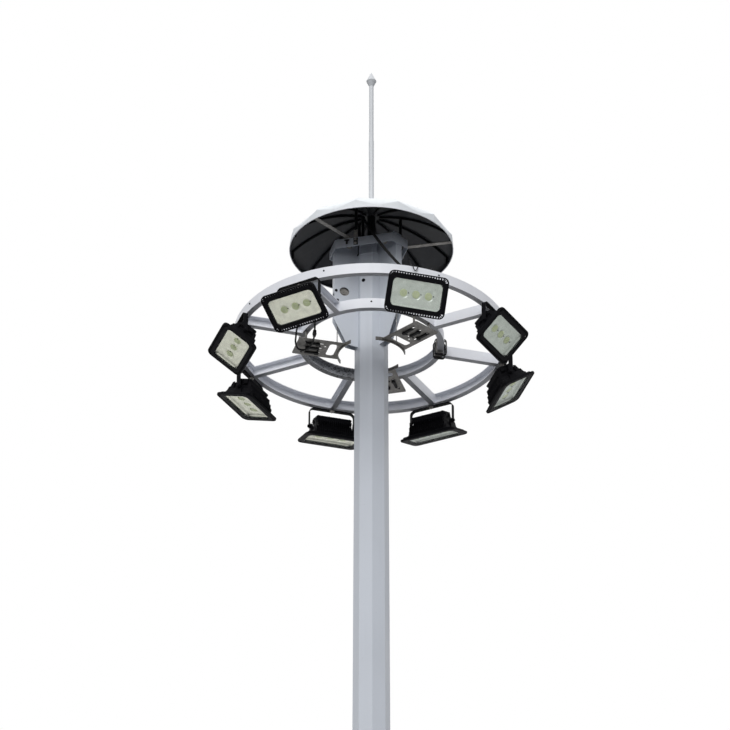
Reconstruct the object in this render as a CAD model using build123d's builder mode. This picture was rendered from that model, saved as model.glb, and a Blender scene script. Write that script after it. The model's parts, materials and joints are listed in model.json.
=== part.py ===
from build123d import *
import math
import os

# High mast floodlight tower: an octagonal tapered pole carries a head with three arms, a petalled
# hood and a lightning rod; a lamp ring with eight tilting floodlights rides up and down the pole.
# Millimetres, +Z up, origin at the centre of the base plate's underside.
# Angles are in degrees, counted anticlockwise from +X seen from above.

# Pole
pole_sides = 8
pole_turn = 3.0                 # turns one corner of the octagon just past the near side
base_radius = 171.5             # corner radius of the lower section at the ground
taper = 3.0 / 1000              # corner radius lost for each millimetre of height
lower_wall = 6.0
upper_wall = 5.0
joint_height = 9700.0           # lower edge of the upper section
joint_overlap = 600.0

# Base
base_plate_radius = 320.0
base_plate_thickness = 25.0
base_plate_edge = 3.0           # chamfer round the top
base_bolt_circle = 540.0
base_bolt_hole = 33.0
cable_hole = 200.0
gusset_height = 180.0
gusset_reach = 95.0
gusset_thickness = 12.0
gusset_lip = 30.0               # upright end at the foot of a gusset
gusset_tip = 18.0               # width left at its upper end

# Service door
door_angle = -64.5              # middle of one flat of the octagon
door_width = 170.0
door_height = 900.0
door_sill = 600.0
door_frame_width = 14.0
door_frame_stand = 14.0         # how far the frame stands proud of the flat
door_frame_depth = 80.0
door_leaf_thickness = 5.0
door_leaf_lap = 9.0
door_corner = 40.0
door_edge = 1.5

# Lamp ring
ring_height = 18600.0           # underside of the ring above the ground
ring_radius = 1000.0
inner_ring_radius = 527.0
channel_height = 80.0
channel_flange = 43.0
channel_wall = 5.0
spoke_count = 8
spoke_start = -73.0
spoke_plate_width = 110.0
spoke_gap = 2.0                 # between a spoke's end plate and the web of the outer ring
spoke_lap = 1.0                 # how far a spoke's tongue starts inside the spoke

# Rope brackets under the inner ring
arm_count = 3
arm_start = -45.0
bracket_drop = 80.0             # top of the plate below the ring
bracket_thickness = 6.0
bracket_width = 226.0
bracket_corner = 12.0
bracket_nose_radius = 240.0     # concave edge that faces the pole
bracket_outer = 565.0
bracket_window_in = 268.0
bracket_window_out = 326.0
bracket_window_width = 160.0
bracket_window_corner = 20.0
bracket_hole = 18.0             # one hole beside the window, for the ring's supply plug
bracket_hole_middle = 352.0
bracket_slot_length = 135.0
bracket_slot_width = 15.0
bracket_slot_pitch = 62.0
bracket_slot_middle = 437.0
guide_strip_height = 26.0
guide_strip_thickness = 8.0
guide_strip_sweep = 74.0
hanger_diameter = 16.0
hanger_radius = 506.0
hanger_spacing = 150.0

# Head
pole_top = 720.0                # pole top above the underside of the ring
top_plate_thickness = 8.0
top_plate_lap = 4.0
arm_reach = 285.0
arm_top = 855.0
arm_foot = -50.0
arm_plate = 5.0
arm_neck = 60.0                 # inner edge of an arm above the pole
arm_root = 90.0                 # inner edge beside the pole, before the pole is cut away
arm_neck_cut = 40.0
arm_tip_cut = 25.0
arm_heel = 166.0                # height at which the outer edge turns in towards the pole
arm_toe = (190.0, -34.0)
arm_strip_bottom = 400.0
bolt_hole = 12.0
bolt_hole_spots = [(62.0, 0.0), (52.0, -81.0)]     # from the guide sheave's axle
arm_gap = 44.0                  # clear width between an arm's two side plates
rope_diameter = 8.0
rope_outer_radius = 256.0       # where the ropes hang
rope_wall_clearance = 5.5       # between a rope and the inside of the pole at its top
rope_hole = 22.0
rope_tail = 300.0               # how far the ropes are made down inside the pole
guide_sheave_height = 409.0
guide_sheave_groove = 42.0
sheave_lip = 9.0
sheave_width = 26.0
sheave_pin = 20.0
sheave_rim = 5.0
sheave_hub_wall = 10.0
sheave_hub_stand = 6.0
top_sheave_height = 800.0
inspection_hole = 72.0
band_distance = 218.0           # from the axis to the outside of each long tie plate
band_tip = 297.0                # from the axis to the outside of the short plates on the arm tips
band_bottom = 732.0
band_height = 70.0
band_thickness = 5.0
band_corner = 10.0

# Hood
petal_pairs = 6
hood_turn = -11.0               # direction of one seam between petals
hood_radius = 602.0             # to the middle of a petal, before the rim is turned round
hood_edge_radius = 600.0        # the round rim
hood_rim = 808.0
hood_rise = 295.0
hood_shoulder = 110.0
hood_sheet = 4.0
rib_depth = 16.0
rib_thickness = 7.0
strut_width = 32.0
strut_thickness = 6.0
strut_start = -12.0
post_diameter = 60.0
rib_gap = 30.0                  # between the central post and the ends of the ribs
rod_gap = 0.5                   # between the rod and the hole in the hood

# Lightning rod
rod_lower_diameter = 38.0
rod_upper_diameter = 34.0
rod_joint = 1770.0
rod_top = 2262.0
finial_height = 129.0
finial_shoulder = 47.0          # height at which the finial is widest
finial_radius = 38.0

# Floodlights
lamp_tilts = [47.0, 57.0, 70.0, 75.0, 73.0, 56.0, 55.0, 30.0]
lamp_start = -28.0              # direction of the first lamp, the others follow at each spoke
lamp_shifts = [-0.4, -1.4, 1.3, 0.2, 0.6, 1.4, -2.9, 0.2]      # how far each is clamped off its spoke
pivot_drop = 155.0
frame_front = 95.0              # front of the lamp frame ahead of the pivot
frame_thickness = 14.0
frame_width = 442.0
frame_height = 298.0
frame_corner = 42.0
glass_width = 366.0
glass_height = 196.0
glass_corner = 34.0
glass_thickness = 5.0
glass_recess = 3.0
sink_width = 318.0
sink_height = 226.0
sink_back_width = 286.0
sink_back_height = 168.0
sink_depth = 74.0
sink_corner = 12.0
driver_width = 262.0
driver_height = 122.0
driver_depth = 84.0
driver_corner = 8.0
ear_inside = 150.0              # from the lamp's middle to the inner face of each ear
ear_thickness = 13.0
ear_radius = 18.0
ear_root = 36.0                 # half height of an ear where it meets the frame
yoke_width = 348.0
yoke_strip = 32.0
yoke_thickness = 5.0
yoke_shoulder = 34.0            # bend radius at the top corners
yoke_hub = 18.0
pivot_pin = 14.0
pin_stand = 6.0
pin_clearance = 0.1

# Supply cable
cable_diameter = 19.0
cable_start = (-61.0, -60.0, 1057.0)
cable_end = (290.0, -790.0, 90.0)

os.makedirs("parts", exist_ok=True)

lower_top = joint_height + joint_overlap
upper_top = ring_height + pole_top
wall_to_corner = 1 / math.cos(math.pi / pole_sides)


def lower_radius(height):
    # corner radius of the lower section's outside, also the inside of the upper section
    return base_radius - taper * height


def lower_bore(height):
    # corner radius of the lower section's inside
    return lower_radius(height) - lower_wall * wall_to_corner


def upper_radius(height):
    # corner radius of the upper section's outside
    return lower_radius(height) + upper_wall * wall_to_corner


def octagons(bottom, top, radius_at):
    # the end sections of a tapered octagonal prism
    with BuildSketch(Plane.XY.offset(bottom)) as low_section:
        RegularPolygon(radius_at(bottom), pole_sides, rotation=pole_turn)
    with BuildSketch(Plane.XY.offset(top)) as high_section:
        RegularPolygon(radius_at(top), pole_sides, rotation=pole_turn)
    return [low_section.sketch, high_section.sketch]


def upright_plane(angle, distance, height):
    # a plane facing outwards at one direction round the pole, its x axis level
    turn = math.radians(angle)
    outwards = Vector(math.cos(turn), math.sin(turn), 0)
    level = Vector(-math.sin(turn), math.cos(turn), 0)
    return Plane(origin=outwards * distance + Vector(0, 0, height), x_dir=level, z_dir=outwards)


def radial_plane(angle, offset=0.0):
    # a vertical plane through the pole's axis, its x axis outwards and its y axis up from the ring
    turn = math.radians(angle)
    outwards = Vector(math.cos(turn), math.sin(turn), 0)
    aside = Vector(math.sin(turn), -math.cos(turn), 0)
    return Plane(origin=aside * -offset + Vector(0, 0, ring_height), x_dir=outwards, z_dir=aside)


def save(piece, name):
    piece.part.label = name
    export_step(piece.part, f"parts/{name}.step")


top_plate_radius = upper_radius(upper_top) + top_plate_lap
rope_inner_radius = lower_radius(upper_top) / wall_to_corner - rope_diameter / 2 - rope_wall_clearance

# Base plate with anchor holes and a cable entry
with BuildPart() as base_plate:
    Cylinder(base_plate_radius, base_plate_thickness, align=(Align.CENTER, Align.CENTER, Align.MIN))
    chamfer(base_plate.edges().group_by(Axis.Z)[-1], base_plate_edge)
    with PolarLocations(base_bolt_circle / 2, pole_sides, start_angle=pole_turn + 180 / pole_sides):
        Hole(base_bolt_hole / 2)
    Hole(cable_hole / 2)
save(base_plate, "base_plate")

# Gussets on the corners of the pole
with BuildPart() as one_gusset:
    foot = lower_radius(base_plate_thickness)
    head = lower_radius(base_plate_thickness + gusset_height)
    with BuildSketch(Plane.XZ):
        with BuildLine():
            Polyline(
                (foot, base_plate_thickness),
                (foot + gusset_reach, base_plate_thickness),
                (foot + gusset_reach, base_plate_thickness + gusset_lip),
                (head + gusset_tip, base_plate_thickness + gusset_height),
                (head, base_plate_thickness + gusset_height),
                close=True,
            )
        make_face()
    extrude(amount=gusset_thickness / 2, both=True)
with BuildPart() as base_gussets:
    with PolarLocations(0, pole_sides, start_angle=pole_turn):
        add(one_gusset.part)
save(base_gussets, "base_gussets")

# Door frame, its opening cut through the pole wall
door_middle = door_sill + door_height / 2
flat_distance = lower_radius(door_middle) / wall_to_corner
frame_face = flat_distance + door_frame_stand
with BuildPart() as door_frame:
    with BuildSketch(upright_plane(door_angle, frame_face, door_middle)):
        RectangleRounded(door_width + 2 * door_frame_width, door_height + 2 * door_frame_width,
                         door_corner + door_frame_width)
        RectangleRounded(door_width, door_height, door_corner, mode=Mode.SUBTRACT)
    extrude(amount=-door_frame_depth)
save(door_frame, "door_frame")

with BuildPart() as service_door:
    with BuildSketch(upright_plane(door_angle, frame_face, door_middle)):
        RectangleRounded(door_width + 2 * door_leaf_lap, door_height + 2 * door_leaf_lap,
                         door_corner + door_leaf_lap)
    extrude(amount=door_leaf_thickness)
    chamfer(service_door.faces().sort_by(SortBy.DISTANCE)[-1].edges(), door_edge)
save(service_door, "service_door")

# Pole sections, slip-jointed at mid height
with BuildPart() as pole_lower:
    loft(octagons(base_plate_thickness, lower_top, lower_radius), ruled=True)
    loft(octagons(base_plate_thickness, lower_top, lower_bore), ruled=True, mode=Mode.SUBTRACT)
    with BuildSketch(upright_plane(door_angle, frame_face, door_middle)):
        RectangleRounded(door_width + 2 * door_frame_width, door_height + 2 * door_frame_width,
                         door_corner + door_frame_width)
    extrude(amount=-flat_distance, mode=Mode.SUBTRACT)
save(pole_lower, "pole_lower")

with BuildPart() as pole_upper:
    loft(octagons(joint_height, upper_top, upper_radius), ruled=True)
    loft(octagons(joint_height, upper_top, lower_radius), ruled=True, mode=Mode.SUBTRACT)
save(pole_upper, "pole_upper")

with BuildPart() as pole_top_plate:
    with BuildSketch(Plane.XY.offset(upper_top)):
        RegularPolygon(top_plate_radius, pole_sides, rotation=pole_turn)
        with PolarLocations(rope_inner_radius, arm_count, start_angle=arm_start):
            Circle(rope_hole / 2, mode=Mode.SUBTRACT)
    extrude(amount=top_plate_thickness)
save(pole_top_plate, "pole_top_plate")

# Head arms: two side plates and an outer strip, with an inspection hole over the guide sheave
sheave_centre = rope_outer_radius - rope_diameter / 2 - guide_sheave_groove
top_sheave_groove = (rope_outer_radius - rope_inner_radius - rope_diameter) / 2
top_sheave_centre = (rope_outer_radius + rope_inner_radius) / 2


def arm_outline():
    # side view of an arm: tapered foot below the ring, straight outer edge, cut top corners
    with BuildSketch() as outline:
        with BuildLine():
            Polyline(
                (arm_neck, pole_top + top_plate_thickness),
                (arm_neck, arm_top - arm_neck_cut),
                (arm_neck + arm_neck_cut, arm_top),
                (arm_reach - arm_tip_cut, arm_top),
                (arm_reach, arm_top - arm_tip_cut),
                (arm_reach, band_bottom + band_height),
                (band_tip - band_thickness, band_bottom + band_height),
                (band_tip - band_thickness, band_bottom),
                (arm_reach, band_bottom),
                (arm_reach, arm_heel),
                arm_toe,
                (arm_root, arm_foot),
                (arm_root, pole_top + top_plate_thickness),
                close=True,
            )
        make_face()
    return outline.sketch


def arm_solid(angle):
    # side plates and the outer strip of one arm
    side_view = arm_outline()
    strip_height = arm_top - arm_tip_cut - arm_strip_bottom
    with BuildPart() as arm:
        with BuildSketch(radial_plane(angle, arm_gap / 2)):
            add(side_view)
            with Locations((sheave_centre, guide_sheave_height)):
                Circle(inspection_hole / 2, mode=Mode.SUBTRACT)
            with Locations((sheave_centre, guide_sheave_height)):
                with Locations(*bolt_hole_spots):
                    Circle(bolt_hole / 2, mode=Mode.SUBTRACT)
        extrude(amount=-arm_plate)
        with BuildSketch(radial_plane(angle, -arm_gap / 2)):
            add(side_view)
        extrude(amount=arm_plate)
        with BuildSketch(upright_plane(angle, arm_reach,
                                       ring_height + arm_strip_bottom + strip_height / 2)):
            Rectangle(arm_gap + 2 * arm_plate, strip_height)
        extrude(amount=-arm_plate)
        loft(octagons(ring_height + 2 * arm_foot, upper_top, upper_radius), ruled=True,
             mode=Mode.SUBTRACT)
        with BuildSketch(Plane.XY.offset(upper_top)):
            RegularPolygon(top_plate_radius, pole_sides, rotation=pole_turn)
        extrude(amount=top_plate_thickness, mode=Mode.SUBTRACT)
    return arm.part


arm_angles = [arm_start + index * 360 / arm_count for index in range(arm_count)]
arm_solids = [arm_solid(angle) for angle in arm_angles]
with BuildPart() as head_arms:
    add(arm_solids)
save(head_arms, "head_arms")

# Six-sided band: long tie plates between the arms and short ones on the arm tips
with BuildPart() as head_band:
    with BuildSketch(Plane.XY.offset(ring_height + band_bottom)):
        RegularPolygon(band_distance, arm_count, major_radius=False, rotation=arm_start)
        RegularPolygon(band_tip, arm_count, major_radius=False, rotation=arm_start + 180,
                       mode=Mode.INTERSECT)
        fillet(vertices(), band_corner)
        offset(amount=-band_thickness, mode=Mode.SUBTRACT)
    extrude(amount=band_height)
save(head_band, "head_band")


def sheave(groove_radius):
    # grooved rope wheel with a hub, turned about its own axis
    rim = groove_radius + sheave_lip
    bore = sheave_pin / 2 + pin_clearance
    hub = sheave_pin / 2 + sheave_hub_wall
    side = sheave_width / 2
    hub_end = side + sheave_hub_stand
    with BuildPart() as wheel:
        with BuildSketch(Plane.XZ):
            with BuildLine():
                Polyline(
                    (bore, -hub_end), (hub, -hub_end), (hub, -side), (rim, -side),
                    (rim, sheave_rim - side), (groove_radius, -rope_diameter / 2),
                    (groove_radius, rope_diameter / 2), (rim, side - sheave_rim),
                    (rim, side), (hub, side), (hub, hub_end), (bore, hub_end),
                    close=True,
                )
            make_face()
        revolve(axis=Axis.Z)
    return wheel.part


def axle_location(angle, distance, height):
    # a place on an arm whose z axis is the sheave's axle
    turn = math.radians(angle)
    spot = Vector(math.cos(turn) * distance, math.sin(turn) * distance, ring_height + height)
    return Plane(origin=spot, x_dir=(0, 0, 1), z_dir=(math.sin(turn), -math.cos(turn), 0)).location


top_axles = [axle_location(angle, top_sheave_centre, top_sheave_height) for angle in arm_angles]
guide_axles = [axle_location(angle, sheave_centre, guide_sheave_height) for angle in arm_angles]
top_wheel = sheave(top_sheave_groove)
guide_wheel = sheave(guide_sheave_groove)

with BuildPart() as top_sheaves:
    with Locations(*top_axles):
        add(top_wheel)
save(top_sheaves, "top_sheaves")

for index, axle in enumerate(guide_axles):
    with BuildPart() as guide_sheave:
        with Locations(axle):
            add(guide_wheel)
    save(guide_sheave, f"guide_sheave_{index + 1}")

with BuildPart() as sheave_pins:
    with Locations(*top_axles, *guide_axles):
        Cylinder(sheave_pin / 2, arm_gap)
save(sheave_pins, "sheave_pins")

# Hood: a vault of twelve petals, each pair an extruded arch, hollow from below
arch_radius = ((hood_radius - hood_shoulder) ** 2 + hood_rise ** 2 - hood_shoulder ** 2) / (
    2 * (hood_rise - hood_shoulder))


def arch_outline(inset):
    # half ellipse-like arch of a shoulder arc, a crown arc and a second shoulder arc
    shoulder_x = hood_radius - hood_shoulder
    crown_y = hood_rise - arch_radius
    reach = math.hypot(shoulder_x, crown_y)
    lean_x, lean_y = shoulder_x / reach, -crown_y / reach
    small = hood_shoulder - inset
    large = arch_radius - inset
    middle = math.radians(math.degrees(math.atan2(lean_y, lean_x)) / 2)
    meet = (shoulder_x + small * lean_x, small * lean_y)
    bulge = (shoulder_x + small * math.cos(middle), small * math.sin(middle))
    with BuildSketch() as outline:
        with BuildLine():
            ThreePointArc((shoulder_x + small, 0), bulge, meet)
            ThreePointArc(meet, (0, crown_y + large), (-meet[0], meet[1]))
            ThreePointArc((-meet[0], meet[1]), (-bulge[0], bulge[1]), (-shoulder_x - small, 0))
            Line((-shoulder_x - small, 0), (shoulder_x + small, 0))
        make_face()
    return outline.sketch


def vault(inset):
    # the petalled dome, its surface moved inwards by the inset: crossed arches cut each other,
    # and a cylinder turns the rim round
    petal_step = 180 / petal_pairs
    outline = arch_outline(inset)
    dome = None
    for index in range(petal_pairs):
        turn = math.radians(hood_turn + petal_step / 2 + index * petal_step)
        across = Plane(origin=(0, 0, 0),
                       x_dir=(math.cos(turn), math.sin(turn), 0),
                       z_dir=(math.sin(turn), -math.cos(turn), 0))
        with BuildPart() as arch:
            with BuildSketch(across.offset(-2 * hood_radius)):
                add(outline)
            extrude(amount=4 * hood_radius)
        dome = arch.part if dome is None else dome & arch.part
    return dome & Cylinder(hood_edge_radius - inset, 4 * hood_rise)


outer_vault = vault(0)
hood_hollow = vault(hood_sheet)
rib_hollow = vault(hood_sheet + rib_depth)

with BuildPart() as hood_shell:
    with Locations((0, 0, ring_height + hood_rim)):
        add(outer_vault)
        add(hood_hollow, mode=Mode.SUBTRACT)
        Cylinder(rod_lower_diameter / 2 + rod_gap, 4 * hood_rise, mode=Mode.SUBTRACT)
save(hood_shell, "hood_shell")

# Ribs under the seams between petals
with BuildPart() as rib_walls:
    with BuildSketch():
        with PolarLocations(hood_radius / 2, 2 * petal_pairs, start_angle=hood_turn):
            Rectangle(1.2 * hood_radius, rib_thickness)
        Circle(post_diameter / 2 + rib_gap, mode=Mode.SUBTRACT)
    extrude(amount=hood_rise)
rib_cage = (rib_walls.part & hood_hollow) - rib_hollow
with BuildPart() as hood_ribs:
    with Locations((0, 0, ring_height + hood_rim)):
        add(rib_cage)
save(hood_ribs, "hood_ribs")

# Central post that carries the hood's crown
post_bottom = pole_top + top_plate_thickness
post_top = hood_rim + hood_rise - hood_sheet - 1
with BuildPart() as hood_post:
    with BuildSketch(Plane.XY.offset(ring_height + post_bottom)):
        Circle(post_diameter / 2)
        Circle(rod_lower_diameter / 2, mode=Mode.SUBTRACT)
    extrude(amount=post_top - post_bottom)
save(hood_post, "hood_post")

# Struts from the top edge of the band to the hood's rim
strut_bottom = band_bottom + band_height
with BuildPart() as one_strut:
    with BuildSketch(Plane.XY.offset(ring_height + strut_bottom)):
        with Locations(((band_distance + hood_edge_radius) / 2, 0)):
            SlotOverall(hood_edge_radius - band_distance + strut_width, strut_width)
        Circle(hood_edge_radius, mode=Mode.INTERSECT)
    extrude(amount=strut_thickness)
with BuildPart() as hood_struts:
    with PolarLocations(0, arm_count, start_angle=strut_start):
        add(one_strut.part)
save(hood_struts, "hood_struts")

# Lightning rod and finial
with BuildPart() as lightning_rod:
    with Locations((0, 0, ring_height + post_bottom)):
        Cylinder(rod_lower_diameter / 2, rod_joint - post_bottom,
                 align=(Align.CENTER, Align.CENTER, Align.MIN))
    with Locations((0, 0, ring_height + rod_joint)):
        Cylinder(rod_upper_diameter / 2, rod_top - rod_joint,
                 align=(Align.CENTER, Align.CENTER, Align.MIN))
save(lightning_rod, "lightning_rod")

with BuildPart() as rod_finial:
    with BuildSketch(Plane.XZ):
        with BuildLine():
            Polyline(
                (0, ring_height + rod_top),
                (rod_upper_diameter / 2, ring_height + rod_top),
                (finial_radius, ring_height + rod_top + finial_shoulder),
                (0, ring_height + rod_top + finial_height),
                close=True,
            )
        make_face()
    revolve(axis=Axis.Z)
save(rod_finial, "rod_finial")


# Lamp ring
def channel_ring(outer):
    # a rolled channel section, its web outside and its flanges pointing in
    with BuildPart() as rolled:
        with BuildSketch(Plane.XZ):
            with Locations((outer - channel_flange / 2, ring_height + channel_height / 2)):
                Rectangle(channel_flange, channel_height)
            with Locations((outer - channel_wall - channel_flange / 2,
                            ring_height + channel_height / 2)):
                Rectangle(channel_flange, channel_height - 2 * channel_wall, mode=Mode.SUBTRACT)
        revolve(axis=Axis.Z)
    return rolled


outer_ring = channel_ring(ring_radius)
save(outer_ring, "outer_ring")

inner_ring = channel_ring(inner_ring_radius)
save(inner_ring, "inner_ring")

spoke_end = ring_radius - channel_flange
web_height = channel_height - 2 * channel_wall
plate_face = ring_radius - channel_wall - spoke_gap
# Spokes butt on the inner ring; a tongue and a bolted end plate reach into the outer channel
with BuildPart() as one_spoke:
    with BuildSketch(Plane.YZ.offset(inner_ring_radius - channel_wall)):
        with Locations((0, ring_height + channel_height / 2)):
            Rectangle(channel_flange, channel_height)
            with Locations((channel_wall, 0)):
                Rectangle(channel_flange, web_height, mode=Mode.SUBTRACT)
    extrude(amount=spoke_end - inner_ring_radius + channel_wall + spoke_lap)
    with Locations((0, 0, ring_height)):
        Cylinder(inner_ring_radius, 3 * channel_height, mode=Mode.SUBTRACT)
    add(outer_ring.part, mode=Mode.SUBTRACT)
    with BuildSketch(Plane.YZ.offset(spoke_end - spoke_lap)):
        with Locations((channel_wall / 2 - channel_flange / 2, ring_height + channel_height / 2)):
            Rectangle(channel_wall, web_height)
    extrude(amount=plate_face - spoke_end)
    with BuildSketch(Plane.YZ.offset(plate_face)):
        with Locations((0, ring_height + channel_height / 2)):
            Rectangle(spoke_plate_width, web_height)
    extrude(amount=-channel_wall)
with BuildPart() as ring_spokes:
    with PolarLocations(0, spoke_count, start_angle=spoke_start):
        add(one_spoke.part)
save(ring_spokes, "ring_spokes")

# Rope brackets with slots, a window and a guide strip welded along the concave edge
with BuildPart() as one_bracket:
    with BuildSketch(Plane.XY.offset(ring_height - bracket_drop - bracket_thickness)):
        with Locations((bracket_outer / 2, 0)):
            Rectangle(bracket_outer, bracket_width)
        Circle(bracket_nose_radius, mode=Mode.SUBTRACT)
        fillet(vertices().sort_by(Axis.X)[-2:], bracket_corner)
        with Locations(((bracket_window_in + bracket_window_out) / 2, 0)):
            RectangleRounded(bracket_window_out - bracket_window_in, bracket_window_width,
                             bracket_window_corner, mode=Mode.SUBTRACT)
        with GridLocations(0, bracket_slot_pitch, 1, 3):
            with Locations((bracket_slot_middle, 0)):
                SlotOverall(bracket_slot_length, bracket_slot_width, mode=Mode.SUBTRACT)
        with Locations((bracket_hole_middle, bracket_slot_pitch / 2)):
            Circle(bracket_hole / 2, mode=Mode.SUBTRACT)
    extrude(amount=bracket_thickness)
    with BuildSketch(Plane.XY.offset(ring_height - bracket_drop - bracket_thickness
                                     - (guide_strip_height - bracket_thickness) / 2)):
        with BuildLine():
            CenterArc((0, 0), bracket_nose_radius + guide_strip_thickness / 2,
                      -guide_strip_sweep / 2, guide_strip_sweep)
            offset(amount=guide_strip_thickness / 2)
        make_face()
    extrude(amount=guide_strip_height)
with BuildPart() as rope_brackets:
    with PolarLocations(0, arm_count, start_angle=arm_start):
        add(one_bracket.part)
save(rope_brackets, "rope_brackets")

with BuildPart() as one_hanger:
    with BuildSketch(Plane.XY.offset(ring_height - bracket_drop)):
        with GridLocations(0, hanger_spacing, 1, 2):
            with Locations((hanger_radius, 0)):
                Circle(hanger_diameter / 2)
    extrude(amount=bracket_drop)
with BuildPart() as bracket_hangers:
    with PolarLocations(0, arm_count, start_angle=arm_start):
        add(one_hanger.part)
save(bracket_hangers, "bracket_hangers")

# Ropes: straight falls that pay out, and the bends over the top sheaves into the pole
with BuildPart() as one_fall:
    with BuildSketch(Plane.XY.offset(ring_height - bracket_drop)):
        with Locations((rope_outer_radius, 0)):
            Circle(rope_diameter / 2)
    extrude(amount=bracket_drop + top_sheave_height)
with BuildPart() as rope_falls:
    with PolarLocations(0, arm_count, start_angle=arm_start):
        add(one_fall.part)
save(rope_falls, "rope_falls")

with BuildPart() as rope_bends:
    for angle in arm_angles:
        with BuildLine(radial_plane(angle)):
            over = CenterArc((top_sheave_centre, top_sheave_height),
                             top_sheave_groove + rope_diameter / 2, 0, 180)
            Line(over @ 1, (rope_inner_radius, -rope_tail))
        with BuildSketch(Plane(origin=over @ 0, z_dir=over % 0)):
            Circle(rope_diameter / 2)
        sweep()
save(rope_bends, "rope_bends")

# Supply cable from the hood's crown down to the ring
with BuildPart() as supply_cable:
    with BuildLine():
        Polyline(Vector(*cable_start) + Vector(0, 0, ring_height),
                 Vector(*cable_end) + Vector(0, 0, ring_height))
    line = supply_cable.pending_edges[0]
    with BuildSketch(Plane(origin=line @ 0, z_dir=line % 0)):
        Circle(cable_diameter / 2)
    sweep()
save(supply_cable, "supply_cable")

# Yokes under the outer ring, one at each spoke
yoke_inside = yoke_width / 2 - yoke_thickness
yoke_middle = yoke_width / 2 - yoke_thickness / 2
lamp_angles = [lamp_start + index * 360 / spoke_count + shift for index, shift in enumerate(lamp_shifts)]
with BuildPart() as one_yoke:
    with BuildSketch(Plane.YZ.offset(ring_radius)):
        with BuildLine():
            FilletPolyline(
                (-yoke_middle, ring_height - pivot_drop),
                (-yoke_middle, ring_height - yoke_thickness / 2),
                (yoke_middle, ring_height - yoke_thickness / 2),
                (yoke_middle, ring_height - pivot_drop),
                radius=yoke_shoulder,
            )
            offset(amount=yoke_thickness / 2)
        make_face()
    extrude(amount=yoke_strip / 2, both=True)
    with BuildSketch(Plane.XZ):
        with Locations((ring_radius, ring_height - pivot_drop)):
            Circle(yoke_hub)
    extrude(amount=yoke_width / 2, both=True)
    with BuildSketch(Plane.XZ):
        with Locations((ring_radius, ring_height - pivot_drop)):
            Circle(yoke_hub + pin_clearance)
    extrude(amount=yoke_inside, both=True, mode=Mode.SUBTRACT)
    with BuildSketch(Plane.XZ):
        with Locations((ring_radius, ring_height - pivot_drop)):
            Circle(pivot_pin / 2 + pin_clearance)
    extrude(amount=yoke_width, both=True, mode=Mode.SUBTRACT)
with BuildPart() as lamp_yokes:
    with Locations(*[Location((0, 0, 0), (0, 0, angle)) for angle in lamp_angles]):
        add(one_yoke.part)
save(lamp_yokes, "lamp_yokes")

# One floodlight, facing +X with its tilt axis along Y through the origin
frame_back = frame_front - frame_thickness
sink_back = frame_back - sink_depth
with BuildPart() as housing:
    with BuildSketch(Plane.YZ.offset(frame_back)):
        RectangleRounded(frame_width, frame_height, frame_corner)
    extrude(amount=frame_thickness)
    with BuildSketch(Plane.YZ.offset(frame_back)):
        RectangleRounded(sink_width, sink_height, sink_corner)
    with BuildSketch(Plane.YZ.offset(sink_back)):
        RectangleRounded(sink_back_width, sink_back_height, sink_corner)
    loft()
    with BuildSketch(Plane.YZ.offset(sink_back)):
        RectangleRounded(driver_width, driver_height, driver_corner)
    extrude(amount=-driver_depth)
    with BuildSketch(Plane.YZ.offset(frame_front)):
        RectangleRounded(glass_width, glass_height, glass_corner)
    extrude(amount=-glass_thickness - glass_recess, mode=Mode.SUBTRACT)
    for side in (-1, 1):
        with BuildSketch(Plane.XZ.offset(side * ear_inside)):
            with BuildLine():
                Polyline((0, ear_radius), (frame_back + 1, ear_root), (frame_back + 1, -ear_root),
                         (0, -ear_radius), close=True)
            make_face()
            Circle(ear_radius)
        extrude(amount=side * ear_thickness)
        with BuildSketch(Plane.XZ.offset(side * (ear_inside + ear_thickness / 2))):
            Circle(pivot_pin / 2)
        extrude(amount=side * (yoke_width / 2 + pin_stand - ear_inside - ear_thickness / 2))

with BuildPart() as glass:
    with BuildSketch(Plane.YZ.offset(frame_front - glass_recess)):
        RectangleRounded(glass_width, glass_height, glass_corner)
    extrude(amount=-glass_thickness)

for index, (angle, tilt) in enumerate(zip(lamp_angles, lamp_tilts)):
    turn = math.radians(angle)
    spot = (ring_radius * math.cos(turn), ring_radius * math.sin(turn), ring_height - pivot_drop)
    place = Location(spot, (0, 0, angle)) * Location((0, 0, 0), (0, tilt, 0))
    with BuildPart() as lamp_housing:
        with Locations(place):
            add(housing.part)
    save(lamp_housing, f"lamp_{index + 1}_housing")
    with BuildPart() as lamp_glass:
        with Locations(place):
            add(glass.part)
    save(lamp_glass, f"lamp_{index + 1}_glass")
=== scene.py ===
import json
import math

import bpy
import numpy as np
from bpy.props import FloatProperty, FloatVectorProperty, IntProperty, PointerProperty
from mathutils import Matrix, Vector


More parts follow.
